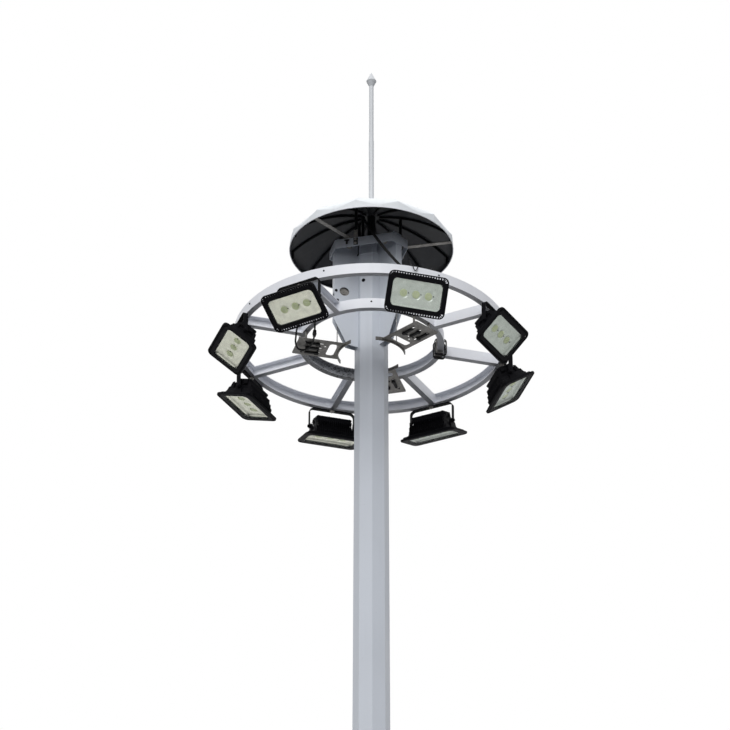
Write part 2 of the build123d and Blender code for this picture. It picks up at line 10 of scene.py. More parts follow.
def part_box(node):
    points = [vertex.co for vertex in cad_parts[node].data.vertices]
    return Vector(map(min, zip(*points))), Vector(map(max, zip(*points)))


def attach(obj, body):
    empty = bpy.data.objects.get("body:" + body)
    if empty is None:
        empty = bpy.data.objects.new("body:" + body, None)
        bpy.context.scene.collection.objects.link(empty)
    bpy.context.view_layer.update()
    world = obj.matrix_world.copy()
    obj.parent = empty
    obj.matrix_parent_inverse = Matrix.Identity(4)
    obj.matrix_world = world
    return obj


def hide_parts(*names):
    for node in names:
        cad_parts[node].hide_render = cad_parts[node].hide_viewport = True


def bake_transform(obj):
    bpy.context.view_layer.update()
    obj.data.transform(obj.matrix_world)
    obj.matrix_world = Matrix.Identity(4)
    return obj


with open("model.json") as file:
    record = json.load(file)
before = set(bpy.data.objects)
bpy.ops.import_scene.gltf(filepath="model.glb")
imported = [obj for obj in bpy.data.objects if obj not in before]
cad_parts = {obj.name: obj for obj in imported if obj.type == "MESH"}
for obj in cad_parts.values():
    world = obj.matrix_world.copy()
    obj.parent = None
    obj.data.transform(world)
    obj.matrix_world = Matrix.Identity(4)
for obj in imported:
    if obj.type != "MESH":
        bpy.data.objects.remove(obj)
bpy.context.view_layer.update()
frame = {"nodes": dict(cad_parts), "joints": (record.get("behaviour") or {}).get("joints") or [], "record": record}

bl_info = {
    "name": "High mast floodlight tower",
    "version": (1, 0, 0),
    "blender": (4, 5, 0),
    "location": "View3D > Sidebar > High mast",
    "description": "Dresses the high mast with floodlights, ropes, fasteners and painted finishes",
    "category": "Object",
}

# Lengths are in metres; heights named for the head are above the ring's foot

UP = np.array([0.0, 0.0, 1.0])
DOWN_WAY = (0, 0, -1)
RING_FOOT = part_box("outer_ring")[0].z
RING_BASE = UP * RING_FOOT
RING_RADIUS = 1.0
INNER_RADIUS = 0.527
BRACKET_DROP = 0.080                                   # top of the rope brackets below the ring's foot

ARM_TURNS = np.radians(-45 + 120 * np.arange(3))       # head arms, ropes and brackets
GAP_TURNS = np.radians([15, 135, 255])                 # half way between the arms
SEAM_TURNS = np.radians(-11 + 30 * np.arange(12))      # seams of the hood
POLE_TURN = math.radians(3)                            # a corner of the pole's octagon
FLAT_TURNS = np.radians(3 + 22.5 + 45 * np.arange(8))  # the octagon's flats

ROPE_RADIUS = 0.004
ROPE_OUT, ROPE_IN = 0.256, 0.0954                      # a rope's distance from the axis outside and inside the pole
TOP_SHEAVE = 0.800
GUIDE_SHEAVE = (0.210, 0.409)                          # distance from the axis, height
ARM_HALF = 0.027                                       # from an arm's middle to its side plate's face
HEAD_FOOT = 0.7275                                     # top face of the pole's plate
PLUG_LIFT = 0.495
LEAD_START = (-0.061, -0.060, 1.057)

HOOD_RADIUS, HOOD_EDGE = 0.602, 0.600
HOOD_SHOULDER, HOOD_RISE = 0.110, 0.295
HOOD_RIM = RING_FOOT + 0.808
HOOD_CROWN = HOOD_RIM + HOOD_RISE

DOOR_TURN = math.radians(-64.5)
DOOR_FACE = 0.1745
ANCHOR_RADIUS, BASE_TOP = 0.270, 0.025

LAMP_SIZE = (0.442, 0.298, 0.042)                      # width, height and corner of a front frame
LAMP_BACK, LAMP_FRONT = 0.081, 0.095                   # faces of the frame ahead of the tilt axis
BOWLS = (-0.092, 0.0, 0.092)                           # middles of the reflector's bowls across the lamp
# Lamps facing the key light, whose reflectors are painted brighter and warmer: a painted highlight
PAINTED_SUNLIT_LAMPS = ("lamp_4", "lamp_5", "lamp_6", "lamp_7")
FORWARDS = np.array([[0.0, 0, 1], [1, 0, 0], [0, 1, 0]])    # brings +Z to +X, the way a lamp faces
HALF_TURN = np.diag([1.0, -1.0, -1.0])

# The way towards the inner ring's darker, mottled quarter
MOTTLED_QUARTER_SIDE = (-0.766, 0.643, 0)
# The brackets under the ring take a darker copy of the zinc: painted shade
OWN_FINISH = {"inner_ring": "patched_ring", "rope_brackets": "bracket_zinc", "bracket_hangers": "bracket_zinc"}
FINISHES = {}


# Shapes: each is (points, four-cornered faces, three-cornered faces) in metres


def quads_between(rows, columns, wrap_rows, wrap_columns):
    """Faces of a grid: cell (i, j) joins points (i, j), (i, j+1), (i+1, j+1) and (i+1, j), counted round where a
    direction wraps."""
    i = np.arange(rows if wrap_rows else rows - 1)[:, None]
    j = np.arange(columns if wrap_columns else columns - 1)[None, :]
    after_i, after_j = (i + 1) % rows, (j + 1) % columns
    corners = [i * columns + j, i * columns + after_j, after_i * columns + after_j, after_i * columns + j]
    return np.stack(np.broadcast_arrays(*corners), -1).reshape(-1, 4)


def outwards(shape):
    """The shape with its faces turned outwards: the sum of corner triple products is six times its volume, and the
    faces are reversed where that is negative."""
    points, quads, triangles = shape
    corners = np.vstack([quads[:, [0, 1, 2]], quads[:, [0, 2, 3]], triangles])
    a, b, c = points[corners[:, 0]], points[corners[:, 1]], points[corners[:, 2]]
    middle = points.mean(0)
    if np.einsum("ij,ij->", a - middle, np.cross(b - middle, c - middle)) < 0:
        return points, quads[:, ::-1], triangles[:, ::-1]
    return shape


def skin(rings, looped=False):
    """A closed surface through a stack of rings: point (i, j) is point j of ring i. Where the stack isn't looped,
    a fan round the ring's mean point closes each end."""
    rings = np.asarray(rings, float)
    count, around = rings.shape[:2]
    points = rings.reshape(-1, 3)
    quads = quads_between(count, around, looped, True)
    triangles = np.empty((0, 3), int)
    if not looped:
        j = np.arange(around)
        k = (j + 1) % around
        foot, middles = (count - 1) * around, count * around
        first, last = np.full(around, middles), np.full(around, middles + 1)
        triangles = np.vstack([np.stack([first, k, j], 1), np.stack([last, foot + j, foot + k], 1)])
        points = np.vstack([points, rings[0].mean(0), rings[-1].mean(0)])
    return outwards((points, quads, triangles))


def joined(*shapes):
    """Several shapes as one, each one's faces counted on from the points before it."""
    starts = np.cumsum([0] + [len(shape[0]) for shape in shapes[:-1]])
    return (
        np.vstack([shape[0] for shape in shapes]),
        np.vstack([shape[1] + start for shape, start in zip(shapes, starts)]),
        np.vstack([shape[2] + start for shape, start in zip(shapes, starts)]),
    )


def copies(shape, turns, moves):
    """A copy of the shape for each turn and move: point p becomes turn times p plus move."""
    points, quads, triangles = shape
    turns, moves = np.asarray(turns, float), np.asarray(moves, float)
    moved = np.einsum("kab,nb->kna", turns, points) + moves[:, None, :]
    starts = (np.arange(len(moves)) * len(points))[:, None, None]
    return (
        moved.reshape(-1, 3),
        (quads[None] + starts).reshape(-1, 4),
        (triangles[None] + starts).reshape(-1, 3),
    )


def repeated(shape, moves, turn=np.eye(3)):
    """A copy of the shape at each move, all turned alike."""
    return copies(shape, [turn] * len(moves), moves)


def scattered(shape, places):
    """A copy of the shape for each (turn, move) pair."""
    return copies(shape, *zip(*places))


def placed(shape, turn=np.eye(3), move=(0, 0, 0)):
    """One copy of the shape."""
    return repeated(shape, [move], turn)


def about_z(angle):
    """Turns anticlockwise seen from above; takes one angle or an array of them."""
    angle = np.asarray(angle, float)
    c, s, o, u = np.cos(angle), np.sin(angle), np.zeros_like(angle), np.ones_like(angle)
    return np.stack([np.stack([c, -s, o], -1), np.stack([s, c, o], -1), np.stack([o, o, u], -1)], -2)


def facing(direction, up=(0, 0, 1)):
    """The turn that brings +Z to a direction, with +Y as near up as it goes."""
    z = np.asarray(direction, float) / np.linalg.norm(direction)
    x = np.cross(up, z)
    if np.linalg.norm(x) < 1e-6:
        x = np.cross((0, 1, 0), z)
    x /= np.linalg.norm(x)
    return np.stack([x, np.cross(z, x), z], 1)


def outward(angle):
    """Unit vectors away from the pole at each angle."""
    angle = np.asarray(angle, float)
    return np.stack([np.cos(angle), np.sin(angle), np.zeros_like(angle)], -1)


def radial(angle):
    """The ways out from the pole and round it at an angle."""
    out = outward(angle)
    return out, np.cross(UP, out)


def backed(angle):
    """The turn that brings -Y to the way out at an angle."""
    return about_z(angle + math.pi / 2)


def rounded_rectangle(width, height, corner, steps=5):
    """Points round a rounded rectangle: quarter circles of the corner radius about four centres."""
    t = np.radians(np.arange(4)[:, None] * 90 + np.linspace(0, 90, steps + 1)[None, :])
    signs = np.array([[1, 1], [-1, 1], [-1, -1], [1, -1]], float)[:, None, :]
    middle = signs * np.array([width / 2 - corner, height / 2 - corner])
    return (middle + corner * np.stack([np.cos(t), np.sin(t)], -1)).reshape(-1, 2)


def plate_stack(levels, steps=5):
    """Rings for a solid of rounded rectangles: each level is (height, width, depth, corner), a rectangle at that
    height along +Z."""
    rings = []
    for height, width, depth, corner in levels:
        outline = rounded_rectangle(width, depth, corner, steps)
        rings.append(np.column_stack([outline, np.full(len(outline), height)]))
    return np.array(rings)


def block(width, depth, low, high, corner=0.001):
    """A rounded block from height low to height high, its rims drawn in by a small edge."""
    edge = 0.0008
    levels = [
        (low, width - 2 * edge, depth - 2 * edge, corner),
        (low + edge, width, depth, corner),
        (high - edge, width, depth, corner),
        (high, width - 2 * edge, depth - 2 * edge, corner),
    ]
    return skin(plate_stack(levels, 2))


def turned(profile, sides, looped=False):
    """A profile of (radius, height) pairs carried round +Z: point (i, j) is at radius i, height i and angle j."""
    profile = np.asarray(profile, float)
    t = 2 * np.pi * np.arange(sides) / sides
    radius, height = profile[:, 0][:, None], profile[:, 1][:, None]
    rings = np.stack([radius * np.cos(t), radius * np.sin(t), np.broadcast_to(height, (len(profile), sides))], -1)
    return skin(rings, looped)


def washer_and_hex(size):
    """A washer and a chamfered six-sided head on it, for a bolt of that shank diameter, standing on +Z."""
    washer = turned([(size, 0), (size * 1.1, size * 0.03), (size * 1.1, size * 0.15), (size, size * 0.18)], 20)
    head = turned([(size * 0.95, size * 0.18), (size * 0.95, size * 0.72), (size * 0.82, size * 0.83)], 6)
    return joined(washer, head)


def stud_end(size, length):
    """The end of a threaded stud that stands out of its nut, with a chamfered tip and shallow rings for its thread."""
    turns = max(int(length / (size * 0.16)), 2)
    height = np.linspace(0, length - size * 0.15, 2 * turns + 1)
    radius = np.where(np.arange(len(height)) % 2 == 0, size * 0.46, size * 0.5)
    profile = np.vstack([np.column_stack([radius, height]), [[size * 0.36, length]]])
    return turned(profile, 12)


def along(path, outline, side, twist=0.0):
    """An outline carried along a path: each path point gets the outline in the plane of two vectors square to the
    path, the first as near the given side as it goes, turned by the twist."""
    path = np.asarray(path, float)
    tangent = np.gradient(path, axis=0)
    tangent /= np.linalg.norm(tangent, axis=1, keepdims=True)
    first = np.asarray(side, float) - tangent * (tangent @ np.asarray(side, float))[:, None]
    first /= np.linalg.norm(first, axis=1, keepdims=True)
    second = np.cross(tangent, first)
    twist = np.broadcast_to(twist, len(path))[:, None]
    c, s = np.cos(twist), np.sin(twist)
    u = outline[:, 0] * c - outline[:, 1] * s
    v = outline[:, 0] * s + outline[:, 1] * c
    return path[:, None, :] + u[..., None] * first[:, None, :] + v[..., None] * second[:, None, :]


def circle(radius, sides=12):
    """Points round a circle."""
    t = 2 * np.pi * np.arange(sides) / sides
    return radius * np.column_stack([np.cos(t), np.sin(t)])


def strand_outline(radius, strands=6, sides=30):
    """Points round a laid rope: its radius dips between the strands by a sixth of itself."""
    t = 2 * np.pi * np.arange(sides) / sides
    r = radius * (0.84 + 0.16 * np.abs(np.cos(strands * t / 2)))
    return np.column_stack([r * np.cos(t), r * np.sin(t)])


# Meshes and finishes


def make_piece(name, shape, body, slot, finish=None, smooth=35.0, replaces=()):
    """Puts a shape into a mesh object at the origin with a finish, or else its slot's own, shades it smooth below an
    angle and lets it ride on its body."""
    points, quads, triangles = shape
    mesh = bpy.data.meshes.new(name)
    mesh.vertices.add(len(points))
    mesh.vertices.foreach_set("co", np.asarray(points, np.float32).ravel())
    corners = np.concatenate([quads.ravel(), triangles.ravel()]).astype(np.int32)
    totals = np.concatenate([np.full(len(quads), 4), np.full(len(triangles), 3)])
    mesh.loops.add(len(corners))
    mesh.loops.foreach_set("vertex_index", corners)
    mesh.polygons.add(len(totals))
    mesh.polygons.foreach_set("loop_start", (np.cumsum(totals) - totals).astype(np.int32))
    mesh.update(calc_edges=True)
    if mesh.validate():
        raise RuntimeError(f"{name} has broken faces")
    mesh.shade_smooth()
    mesh.set_sharp_from_angle(angle=math.radians(smooth))
    mesh.materials.append(FINISHES[finish or slot])
    piece = bpy.data.objects.new(name, mesh)
    bpy.context.scene.collection.objects.link(piece)
    if body:
        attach(piece, body)
    if replaces:
        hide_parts(*replaces)
    return piece


class Finish:
    """A node material: its shader, Object coordinates and the few nodes its patterns are made with."""

    def __init__(self, name, **values):
        self.material = bpy.data.materials.new(name)
        self.material.use_nodes = True
        self.tree = self.material.node_tree
        self.shader = self.tree.nodes["Principled BSDF"]
        self.place = self.tree.nodes.new("ShaderNodeTexCoord").outputs["Object"]
        for key, value in values.items():
            self.shader.inputs[key.replace("_", " ")].default_value = value

    def node(self, kind, inputs=(), **settings):
        made = self.tree.nodes.new("ShaderNode" + kind)
        for key, value in settings.items():
            setattr(made, key, value)
        for key, value in dict(inputs).items():
            made.inputs[key].default_value = value
        return made

    def link(self, source, target):
        self.tree.links.new(source, target)

    def texture(self, kind, stretch, inputs):
        """A texture over the Object coordinates, which a mapping stretches."""
        mapping = self.node("Mapping", {"Scale": stretch})
        self.link(self.place, mapping.inputs["Vector"])
        made = self.node(kind, inputs)
        self.link(mapping.outputs["Vector"], made.inputs["Vector"])
        return made

    def noise(self, scale, detail, stretch=(1, 1, 1), rough=0.5):
        inputs = {"Scale": scale, "Detail": detail, "Roughness": rough}
        return self.texture("TexNoise", stretch, inputs).outputs["Fac"]

    def cells(self, scale):
        return self.texture("TexVoronoi", (1, 1, 1), {"Scale": scale})

    def ramp(self, value, low, high, from_value=0.0, to_value=1.0):
        """Goes evenly from one value to another while the input goes from low to high."""
        made = self.node("MapRange", {"From Min": low, "From Max": high, "To Min": from_value, "To Max": to_value})
        self.link(value, made.inputs["Value"])
        return made.outputs["Result"]

    def dot(self, vector, other):
        """The dot product of a vector output with another, or with a fixed vector."""
        made = self.node("VectorMath", operation="DOT_PRODUCT")
        self.link(vector, made.inputs[0])
        if isinstance(other, bpy.types.NodeSocket):
            self.link(other, made.inputs[1])
        else:
            made.inputs[1].default_value = other
        return made.outputs["Value"]

    def mix(self, factor, first, second):
        """A mix of two colours, each an output or a fixed colour."""
        made = self.node("Mix", data_type="RGBA")
        self.link(factor, made.inputs[0])
        for socket, value in ((made.inputs[6], first), (made.inputs[7], second)):
            if isinstance(value, bpy.types.NodeSocket):
                self.link(value, socket)
            else:
                socket.default_value = (*value[:3], 1)
        return made.outputs[2]

    def over(self, value, low, high, first, second, most=1.0):
        """Goes from the first colour towards the second while the value goes from low to high."""
        return self.mix(self.ramp(value, low, high, 0.0, most), first, second)

    def colour(self, socket):
        self.link(socket, self.shader.inputs["Base Color"])

    def relief(self, height, strength, distance):
        made = self.node("Bump", {"Strength": strength, "Distance": distance})
        self.link(height, made.inputs["Height"])
        self.link(made.outputs["Normal"], self.shader.inputs["Normal"])

    def done(self, colour, wear, smooth, rough, grain, strength, distance):
        """Sets the colour, lets the wear take the roughness from smooth to rough and the grain raise the surface."""
        self.colour(colour)
        self.link(self.ramp(wear, 0.3, 0.7, smooth, rough), self.shader.inputs["Roughness"])
        self.relief(grain, strength, distance)
        return self.material


def shade(colour, amount):
    """A colour multiplied by an amount, kept below one."""
    return tuple(min(channel * amount, 1.0) for channel in colour[:3])


def painted_steel(name, colour, streak=0.06, roughness=0.42):
    """Satin paint: soft cloudy tone, faint vertical rain streaks, a trace of dust and the fine dimples of sprayed
    paint."""
    made = Finish(name, Coat_Weight=0.08, Coat_Roughness=0.3)
    cloud = made.noise(1.6, 4)
    streaks = made.noise(14.0, 3, (1, 1, 0.07))
    specks = made.ramp(made.noise(90.0, 2), 0.66, 0.74)
    base = made.over(cloud, 0.35, 0.65, shade(colour, 1 - streak * 0.5), shade(colour, 1 + streak * 0.4))
    base = made.over(streaks, 0.5, 0.8, base, shade(colour, 1 - 1.6 * streak), 0.55)
    base = made.over(specks, 0, 1, base, shade(colour, 0.62), 0.16)
    return made.done(base, cloud, roughness - 0.07, roughness + 0.08, made.noise(700.0, 2), 0.12, 0.0006)


def zinc_coat(name, colour, spangle=70.0):
    """Hot-dip galvanising: flat grey crystals a centimetre or so across, cloudy oxide over them and a faint grain."""
    made = Finish(name, Metallic=0.55)
    cloud = made.noise(9.0, 5, rough=0.65)
    tone = made.node("RGBToBW")
    made.link(made.cells(spangle).outputs["Color"], tone.inputs["Color"])
    base = made.over(tone.outputs["Val"], 0.2, 0.8, shade(colour, 0.82), shade(colour, 1.16))
    base = made.over(cloud, 0.42, 0.7, base, shade(colour, 0.55), 0.6)
    return made.done(base, cloud, 0.38, 0.62, made.noise(260.0, 3), 0.15, 0.0006)


def powder_coat(name, colour, sheen):
    """Black powder coat: a fine pebbled grain, rubbed lighter where broad noise says dust has settled."""
    made = Finish(name, Specular_IOR_Level=sheen)
    dust = made.noise(24.0, 4, rough=0.6)
    base = made.over(dust, 0.5, 0.78, colour[:3], shade(colour, 1.9), 0.5)
    return made.done(base, dust, 0.5, 0.66, made.noise(900.0, 2), 0.3, 0.0004)


def hood_enamel_and_painted_shade(name, outside, inside):
    """White enamel outside and charcoal inside, the charcoal being painted shade under the hood, with dust clouds on
    both: a face is outside where its normal leans away from a point on the axis a little above the rim."""
    made = Finish(name, Specular_IOR_Level=0.3)
    away = made.node("VectorMath", operation="SUBTRACT")
    made.link(made.place, away.inputs[0])
    away.inputs[1].default_value = (0, 0, HOOD_RIM + 0.1)
    lean = made.dot(away.outputs[0], made.node("NewGeometry").outputs["True Normal"])
    cloud = made.noise(3.0, 4)
    streaks = made.noise(20.0, 3, (1, 1, 0.2))
    above = made.over(cloud, 0.35, 0.7, shade(outside, 1.0), shade(outside, 0.93))
    above = made.over(streaks, 0.55, 0.8, above, shade(outside, 0.82), 0.4)
    # Painted shade: the charcoal inside stands in for the shade under the hood; its clouds and lighter streaks are
    # dust
    below = made.over(cloud, 0.35, 0.7, shade(inside, 0.8), shade(inside, 1.35))
    below = made.over(streaks, 0.5, 0.8, below, shade(inside, 1.7), 0.5)
    base = made.over(lean, -0.005, 0.005, below, above)
    return made.done(base, cloud, 0.4, 0.55, made.noise(500.0, 2), 0.1, 0.0005)


def drawn_wire(name, colour):
    """Galvanised wire rope: greasy dark hollows in a bright grey, with a fine grain."""
    made = Finish(name, Metallic=0.7)
    grease = made.noise(60.0, 4)
    base = made.over(grease, 0.4, 0.7, shade(colour, 1.1), shade(colour, 0.45))
    return made.done(base, grease, 0.35, 0.6, made.noise(800.0, 2), 0.2, 0.0003)


def black_sheath(name, colour):
    """Extruded rubber sheath: matt black with chalky scuffs and fine lengthwise drag lines."""
    made = Finish(name, Specular_IOR_Level=0.12)
    scuff = made.noise(35.0, 4, (1, 1, 0.3))
    base = made.over(scuff, 0.52, 0.8, colour[:3], shade(colour, 2.0), 0.6)
    return made.done(base, scuff, 0.5, 0.7, made.noise(500.0, 2, (1, 1, 0.1)), 0.2, 0.0004)


def front_glass(name, colour):
    """Toughened front glass: see-through with a pale green cast, thin dust and a clear gloss."""
    made = Finish(name, Roughness=0.08, IOR=1.5, Specular_IOR_Level=0.5)
    dust = made.noise(26.0, 4)
    made.colour(made.over(dust, 0.4, 0.75, colour[:3], shade(colour, 0.9)))
    made.link(made.ramp(dust, 0.35, 0.75, 0.10, 0.16), made.shader.inputs["Alpha"])
    return made.material


def satin_reflector(name, colour):
    """Pressed reflector sheet: satin silver with a faint green cast and a soft cloudy sheen."""
    made = Finish(name, Metallic=0.8)
    cloud = made.noise(30.0, 3)
    base = made.over(cloud, 0.35, 0.7, shade(colour, 0.94), shade(colour, 1.05))
    return made.done(base, cloud, 0.3, 0.45, made.noise(400.0, 2), 0.08, 0.0003)


def phosphor(name, colour):
    """Light-emitting chip under yellow phosphor: a close grid of dots a shade deeper than the gel round them."""
    made = Finish(name, Roughness=0.35, Metallic=0.5)
    dots = made.ramp(made.cells(420.0).outputs["Distance"], 0.1, 0.45)
    made.colour(made.mix(dots, shade(colour, 0.8), shade(colour, 1.08)))
    made.relief(dots, 0.3, 0.0004)
    return made.material


def patched_ring(name, paint, zinc):
    """The inner ring's satin paint, painted darker and mottled with dark spots on the quarter that lies to the left
    and away: that quarter is where a point leans towards one direction by more than a limit."""
    made = Finish(name)
    quarter_mask = made.node("Math", operation="ADD")
    made.link(made.dot(made.place, MOTTLED_QUARTER_SIDE), quarter_mask.inputs[0])
    made.link(made.ramp(made.noise(8.0, 4), 0.3, 0.7, -0.03, 0.03), quarter_mask.inputs[1])
    cloud = made.noise(26.0, 5, rough=0.7)
    spots = made.ramp(made.noise(62.0, 3), 0.56, 0.60)
    base = made.over(cloud, 0.35, 0.65, shade(paint, 0.34), shade(paint, 0.66))
    base = made.over(spots, 0, 1, base, shade(zinc, 0.25), 0.85)
    clean = made.over(made.noise(1.6, 4), 0.35, 0.65, shade(paint, 0.97), shade(paint, 1.02))
    base = made.over(quarter_mask.outputs[0], 0.30, 0.33, clean, base)
    return made.done(base, cloud, 0.36, 0.56, made.noise(500.0, 2), 0.12, 0.0005)


def floor_paint(name, colour):
    """Pale matt floor with barely visible clouds."""
    made = Finish(name, Roughness=0.9, Specular_IOR_Level=0.2)
    made.colour(made.mix(made.noise(0.6, 3), shade(colour, 0.99), shade(colour, 1.01)))
    return made.material


# Sizes and colours a user may change


def length(name, default, text):
    """A property that holds a length in metres."""
    return FloatProperty(name=name, description=text, default=default, subtype="DISTANCE", unit="LENGTH")


def paint(name, default, text):
    """A property that holds a colour."""
    return FloatVectorProperty(name=name, description=text, default=default, subtype="COLOR", size=3, min=0, max=1)


class MastSizes(bpy.types.PropertyGroup):
    slot_count: IntProperty(name="Frame slots", description="Slots along each long edge of a lamp frame",
                            default=19, min=4, max=40)
    rim_bar: length("Rim bar", 0.008, "Width of the bar outside the frame's slots")
    slot_length: length("Slot length", 0.014, "Length of each frame slot, square to the edge")
    fin_pitch: length("Fin pitch", 0.015, "Distance between cooling fins")
    fin_thickness: length("Fin thickness", 0.0028, "Thickness of a cooling fin")
    bowl_radius: length("Bowl radius", 0.042, "Radius of a reflector bowl at its rim")
    chip_radius: length("Chip radius", 0.0275, "Radius of a light-emitting chip")
    rope_lay: length("Rope lay", 0.055, "Length in which a strand goes once round the rope")
    ring_bolt: length("Ring bolt", 0.006, "Shank diameter of the bolts in the lamp ring")
    anchor_bolt: length("Anchor bolt", 0.030, "Shank diameter of the anchor bolts")
    seam_width: length("Seam width", 0.018, "Width of the strip over each seam of the hood")


class MastColours(bpy.types.PropertyGroup):
    pole: paint("Pole", (0.60, 0.635, 0.69), "Paint of the pole and head")
    ring: paint("Ring", (0.85, 0.865, 0.905), "Paint of the lamp ring")
    hood: paint("Hood outside", (0.88, 0.91, 0.93), "Enamel of the hood's outside")
    # Painted shade: the hood's inside gets this charcoal in place of the shade that falls under the hood
    painted_shade_lining: paint("Hood inside", (0.040, 0.042, 0.047), "Paint of the hood's inside")
    trim: paint("Dark trim", (0.010, 0.0105, 0.012), "Paint of the ribs and post")
    rod: paint("Rod", (0.67, 0.69, 0.71), "Finish of the lightning rod")
    zinc: paint("Galvanising", (0.26, 0.25, 0.235), "Zinc on brackets and struts")
    wire: paint("Wire rope", (0.32, 0.32, 0.32), "Wire rope")
    sheath: paint("Cable sheath", (0.007, 0.007, 0.0075), "Rubber of the cables")
    lamp: paint("Lamp casting", (0.0045, 0.0045, 0.006), "Powder coat of the lamps")
    glass: paint("Front glass", (0.62, 0.70, 0.62), "Cast of the front glass")
    reflector: paint("Reflector", (0.60, 0.645, 0.595), "Reflector sheet")
    # Painted highlight: a brighter, warmer copy of the reflector for the lamps that face the key light
    warm_reflector: paint("Warm reflector", (0.90, 0.90, 0.78), "Reflector sheet of the warm lamps")
    chip: paint("Chip", (0.60, 0.66, 0.40), "Phosphor of the chips")
    floor: paint("Floor", (0.80, 0.80, 0.80), "Paint of the floor")


# Stage and finishes


class MAST_OT_stage(bpy.types.Operator):
    """Makes the floor, the soft light and the camera of the photograph's view"""

    bl_idname = "mast.stage"
    bl_label = "Stage"

    def execute(self, context):
        FINISHES["floor"] = floor_paint("pale_floor", context.scene.mast_colours.floor)
        disc = turned([(4.5, -0.05), (4.5, 0.0)], 96)
        floor = make_piece("stage_floor", disc, None, "mast_paint", "floor")
        self.light(context)
        self.camera(context)
        context.scene.view_settings.view_transform = "Standard"
        return {"FINISHED"}

    def light(self, context):
        """A broad key from high in front, a little to the left, and a sky that is bright above and dim below. The
        camera, gloss and glass see plain white paper in place of the sky."""
        key = bpy.data.lights.new("soft_key", "SUN")
        key.energy = 1.5
        key.angle = math.radians(40)
        key_object = bpy.data.objects.new("soft_key", key)
        key_object.rotation_euler = (math.radians(55), 0, math.radians(-11))
        context.scene.collection.objects.link(key_object)
        world = bpy.data.worlds.new("studio")
        context.scene.world = world
        world.use_nodes = True
        nodes = world.node_tree.nodes
        nodes.clear()
        kinds = ("OutputWorld", "MixShader", "Background", "Background", "TexCoord", "SeparateXYZ", "ValToRGB",
                 "MapRange", "LightPath", "Math", "Math")
        output, mixer, sky, paper, direction, split, ramp, height, path, first, second = (
            nodes.new("ShaderNode" + kind) for kind in kinds)
        paper.inputs["Color"].default_value = (1, 1, 1, 1)
        dim, bright = ramp.color_ramp.elements
        dim.position, dim.color = 0.43, (0.03, 0.03, 0.034, 1)
        bright.position, bright.color = 0.62, (0.80, 0.81, 0.835, 1)
        height.inputs["From Min"].default_value = -1
        first.operation = second.operation = "MAXIMUM"
        for source, target in (
            (direction.outputs["Generated"], split.inputs["Vector"]),
            (split.outputs["Z"], height.inputs["Value"]),
            (height.outputs["Result"], ramp.inputs["Fac"]),
            (ramp.outputs["Color"], sky.inputs["Color"]),
            (path.outputs["Is Camera Ray"], first.inputs[0]),
            (path.outputs["Is Glossy Ray"], first.inputs[1]),
            (first.outputs[0], second.inputs[0]),
            (path.outputs["Is Transmission Ray"], second.inputs[1]),
            (second.outputs[0], mixer.inputs["Fac"]),
            (sky.outputs[0], mixer.inputs[1]),
            (paper.outputs[0], mixer.inputs[2]),
            (mixer.outputs[0], output.inputs["Surface"]),
        ):
            world.node_tree.links.new(source, target)

    def camera(self, context):
        """The camera stands 30.8 m from the ring's centre and looks up 30.81 degrees at it; focal length and the
        centre's place in the picture are in pixels."""
        distance, rise, focal = 30.8, math.radians(30.81), 4255.4
        picture, (across, down), sensor = 730, (371.35, 345.46), 36.0
        ahead = Vector((0, math.cos(rise), math.sin(rise)))
        right, up = Vector((1, 0, 0)), Vector((0, -math.sin(rise), math.cos(rise)))
        shift = right * (across - picture / 2) + up * (picture / 2 - down)
        view = (ahead - shift / focal).normalized()
        right = (right - view * right.dot(view)).normalized()
        turn = Matrix((right, right.cross(view), -view)).transposed().to_4x4()
        data = bpy.data.cameras.new("photo_view")
        data.sensor_width = sensor
        data.lens = focal / picture * sensor
        data.clip_end = 400.0
        camera = bpy.data.objects.new("photo_view", data)
        camera.matrix_world = Matrix.Translation(Vector(RING_BASE) - ahead * distance) @ turn
        context.scene.collection.objects.link(camera)
        context.scene.camera = camera


class MAST_OT_finishes(bpy.types.Operator):
    """Makes every finish and gives each CAD piece the one its slot names"""

    bl_idname = "mast.finishes"
    bl_label = "Finishes"

    def execute(self, context):
        colours = context.scene.mast_colours
        FINISHES.update(
            mast_paint=painted_steel("mast_paint", colours.pole),
            ring_paint=painted_steel("ring_paint", colours.ring, 0.05, 0.4),
            patched_ring=patched_ring("inner_ring_paint", colours.ring, colours.zinc),
            # The hood's charcoal inside is painted shade
            hood_paint=hood_enamel_and_painted_shade("hood_paint", colours.hood, colours.painted_shade_lining),
            dark_trim=powder_coat("dark_trim", colours.trim, 0.12),
            rod_paint=painted_steel("rod_paint", colours.rod, 0.08, 0.38),
            galvanised=zinc_coat("galvanised", colours.zinc),
            # Painted shade: the galvanising made darker for the brackets that hang under the ring
            bracket_zinc=zinc_coat("bracket_zinc", shade(colours.zinc, 0.6)),
            rope_wire=drawn_wire("rope_wire", colours.wire),
            cable_rubber=black_sheath("cable_rubber", colours.sheath),
            lamp_black=powder_coat("lamp_black", colours.lamp, 0.06),
            lamp_glass=front_glass("lamp_glass", colours.glass),
            reflector=satin_reflector("lamp_reflector", colours.reflector),
            # A painted highlight: the brighter reflector of the lamps that face the key light
            warm_reflector=satin_reflector("lamp_reflector_painted_sunlit", colours.warm_reflector),
            chip=phosphor("lamp_chip", colours.chip),
            bolt=zinc_coat("bolt_zinc", shade(colours.zinc, 1.3), 300.0),
        )
        slots = {row["node"]: row["material_slot"] for row in frame["record"]["subparts"]}
        for name, node in frame["nodes"].items():
            node.data.materials.clear()
            node.data.materials.append(FINISHES[OWN_FINISH.get(name, slots[name])])
        return {"FINISHED"}


# Floodlights


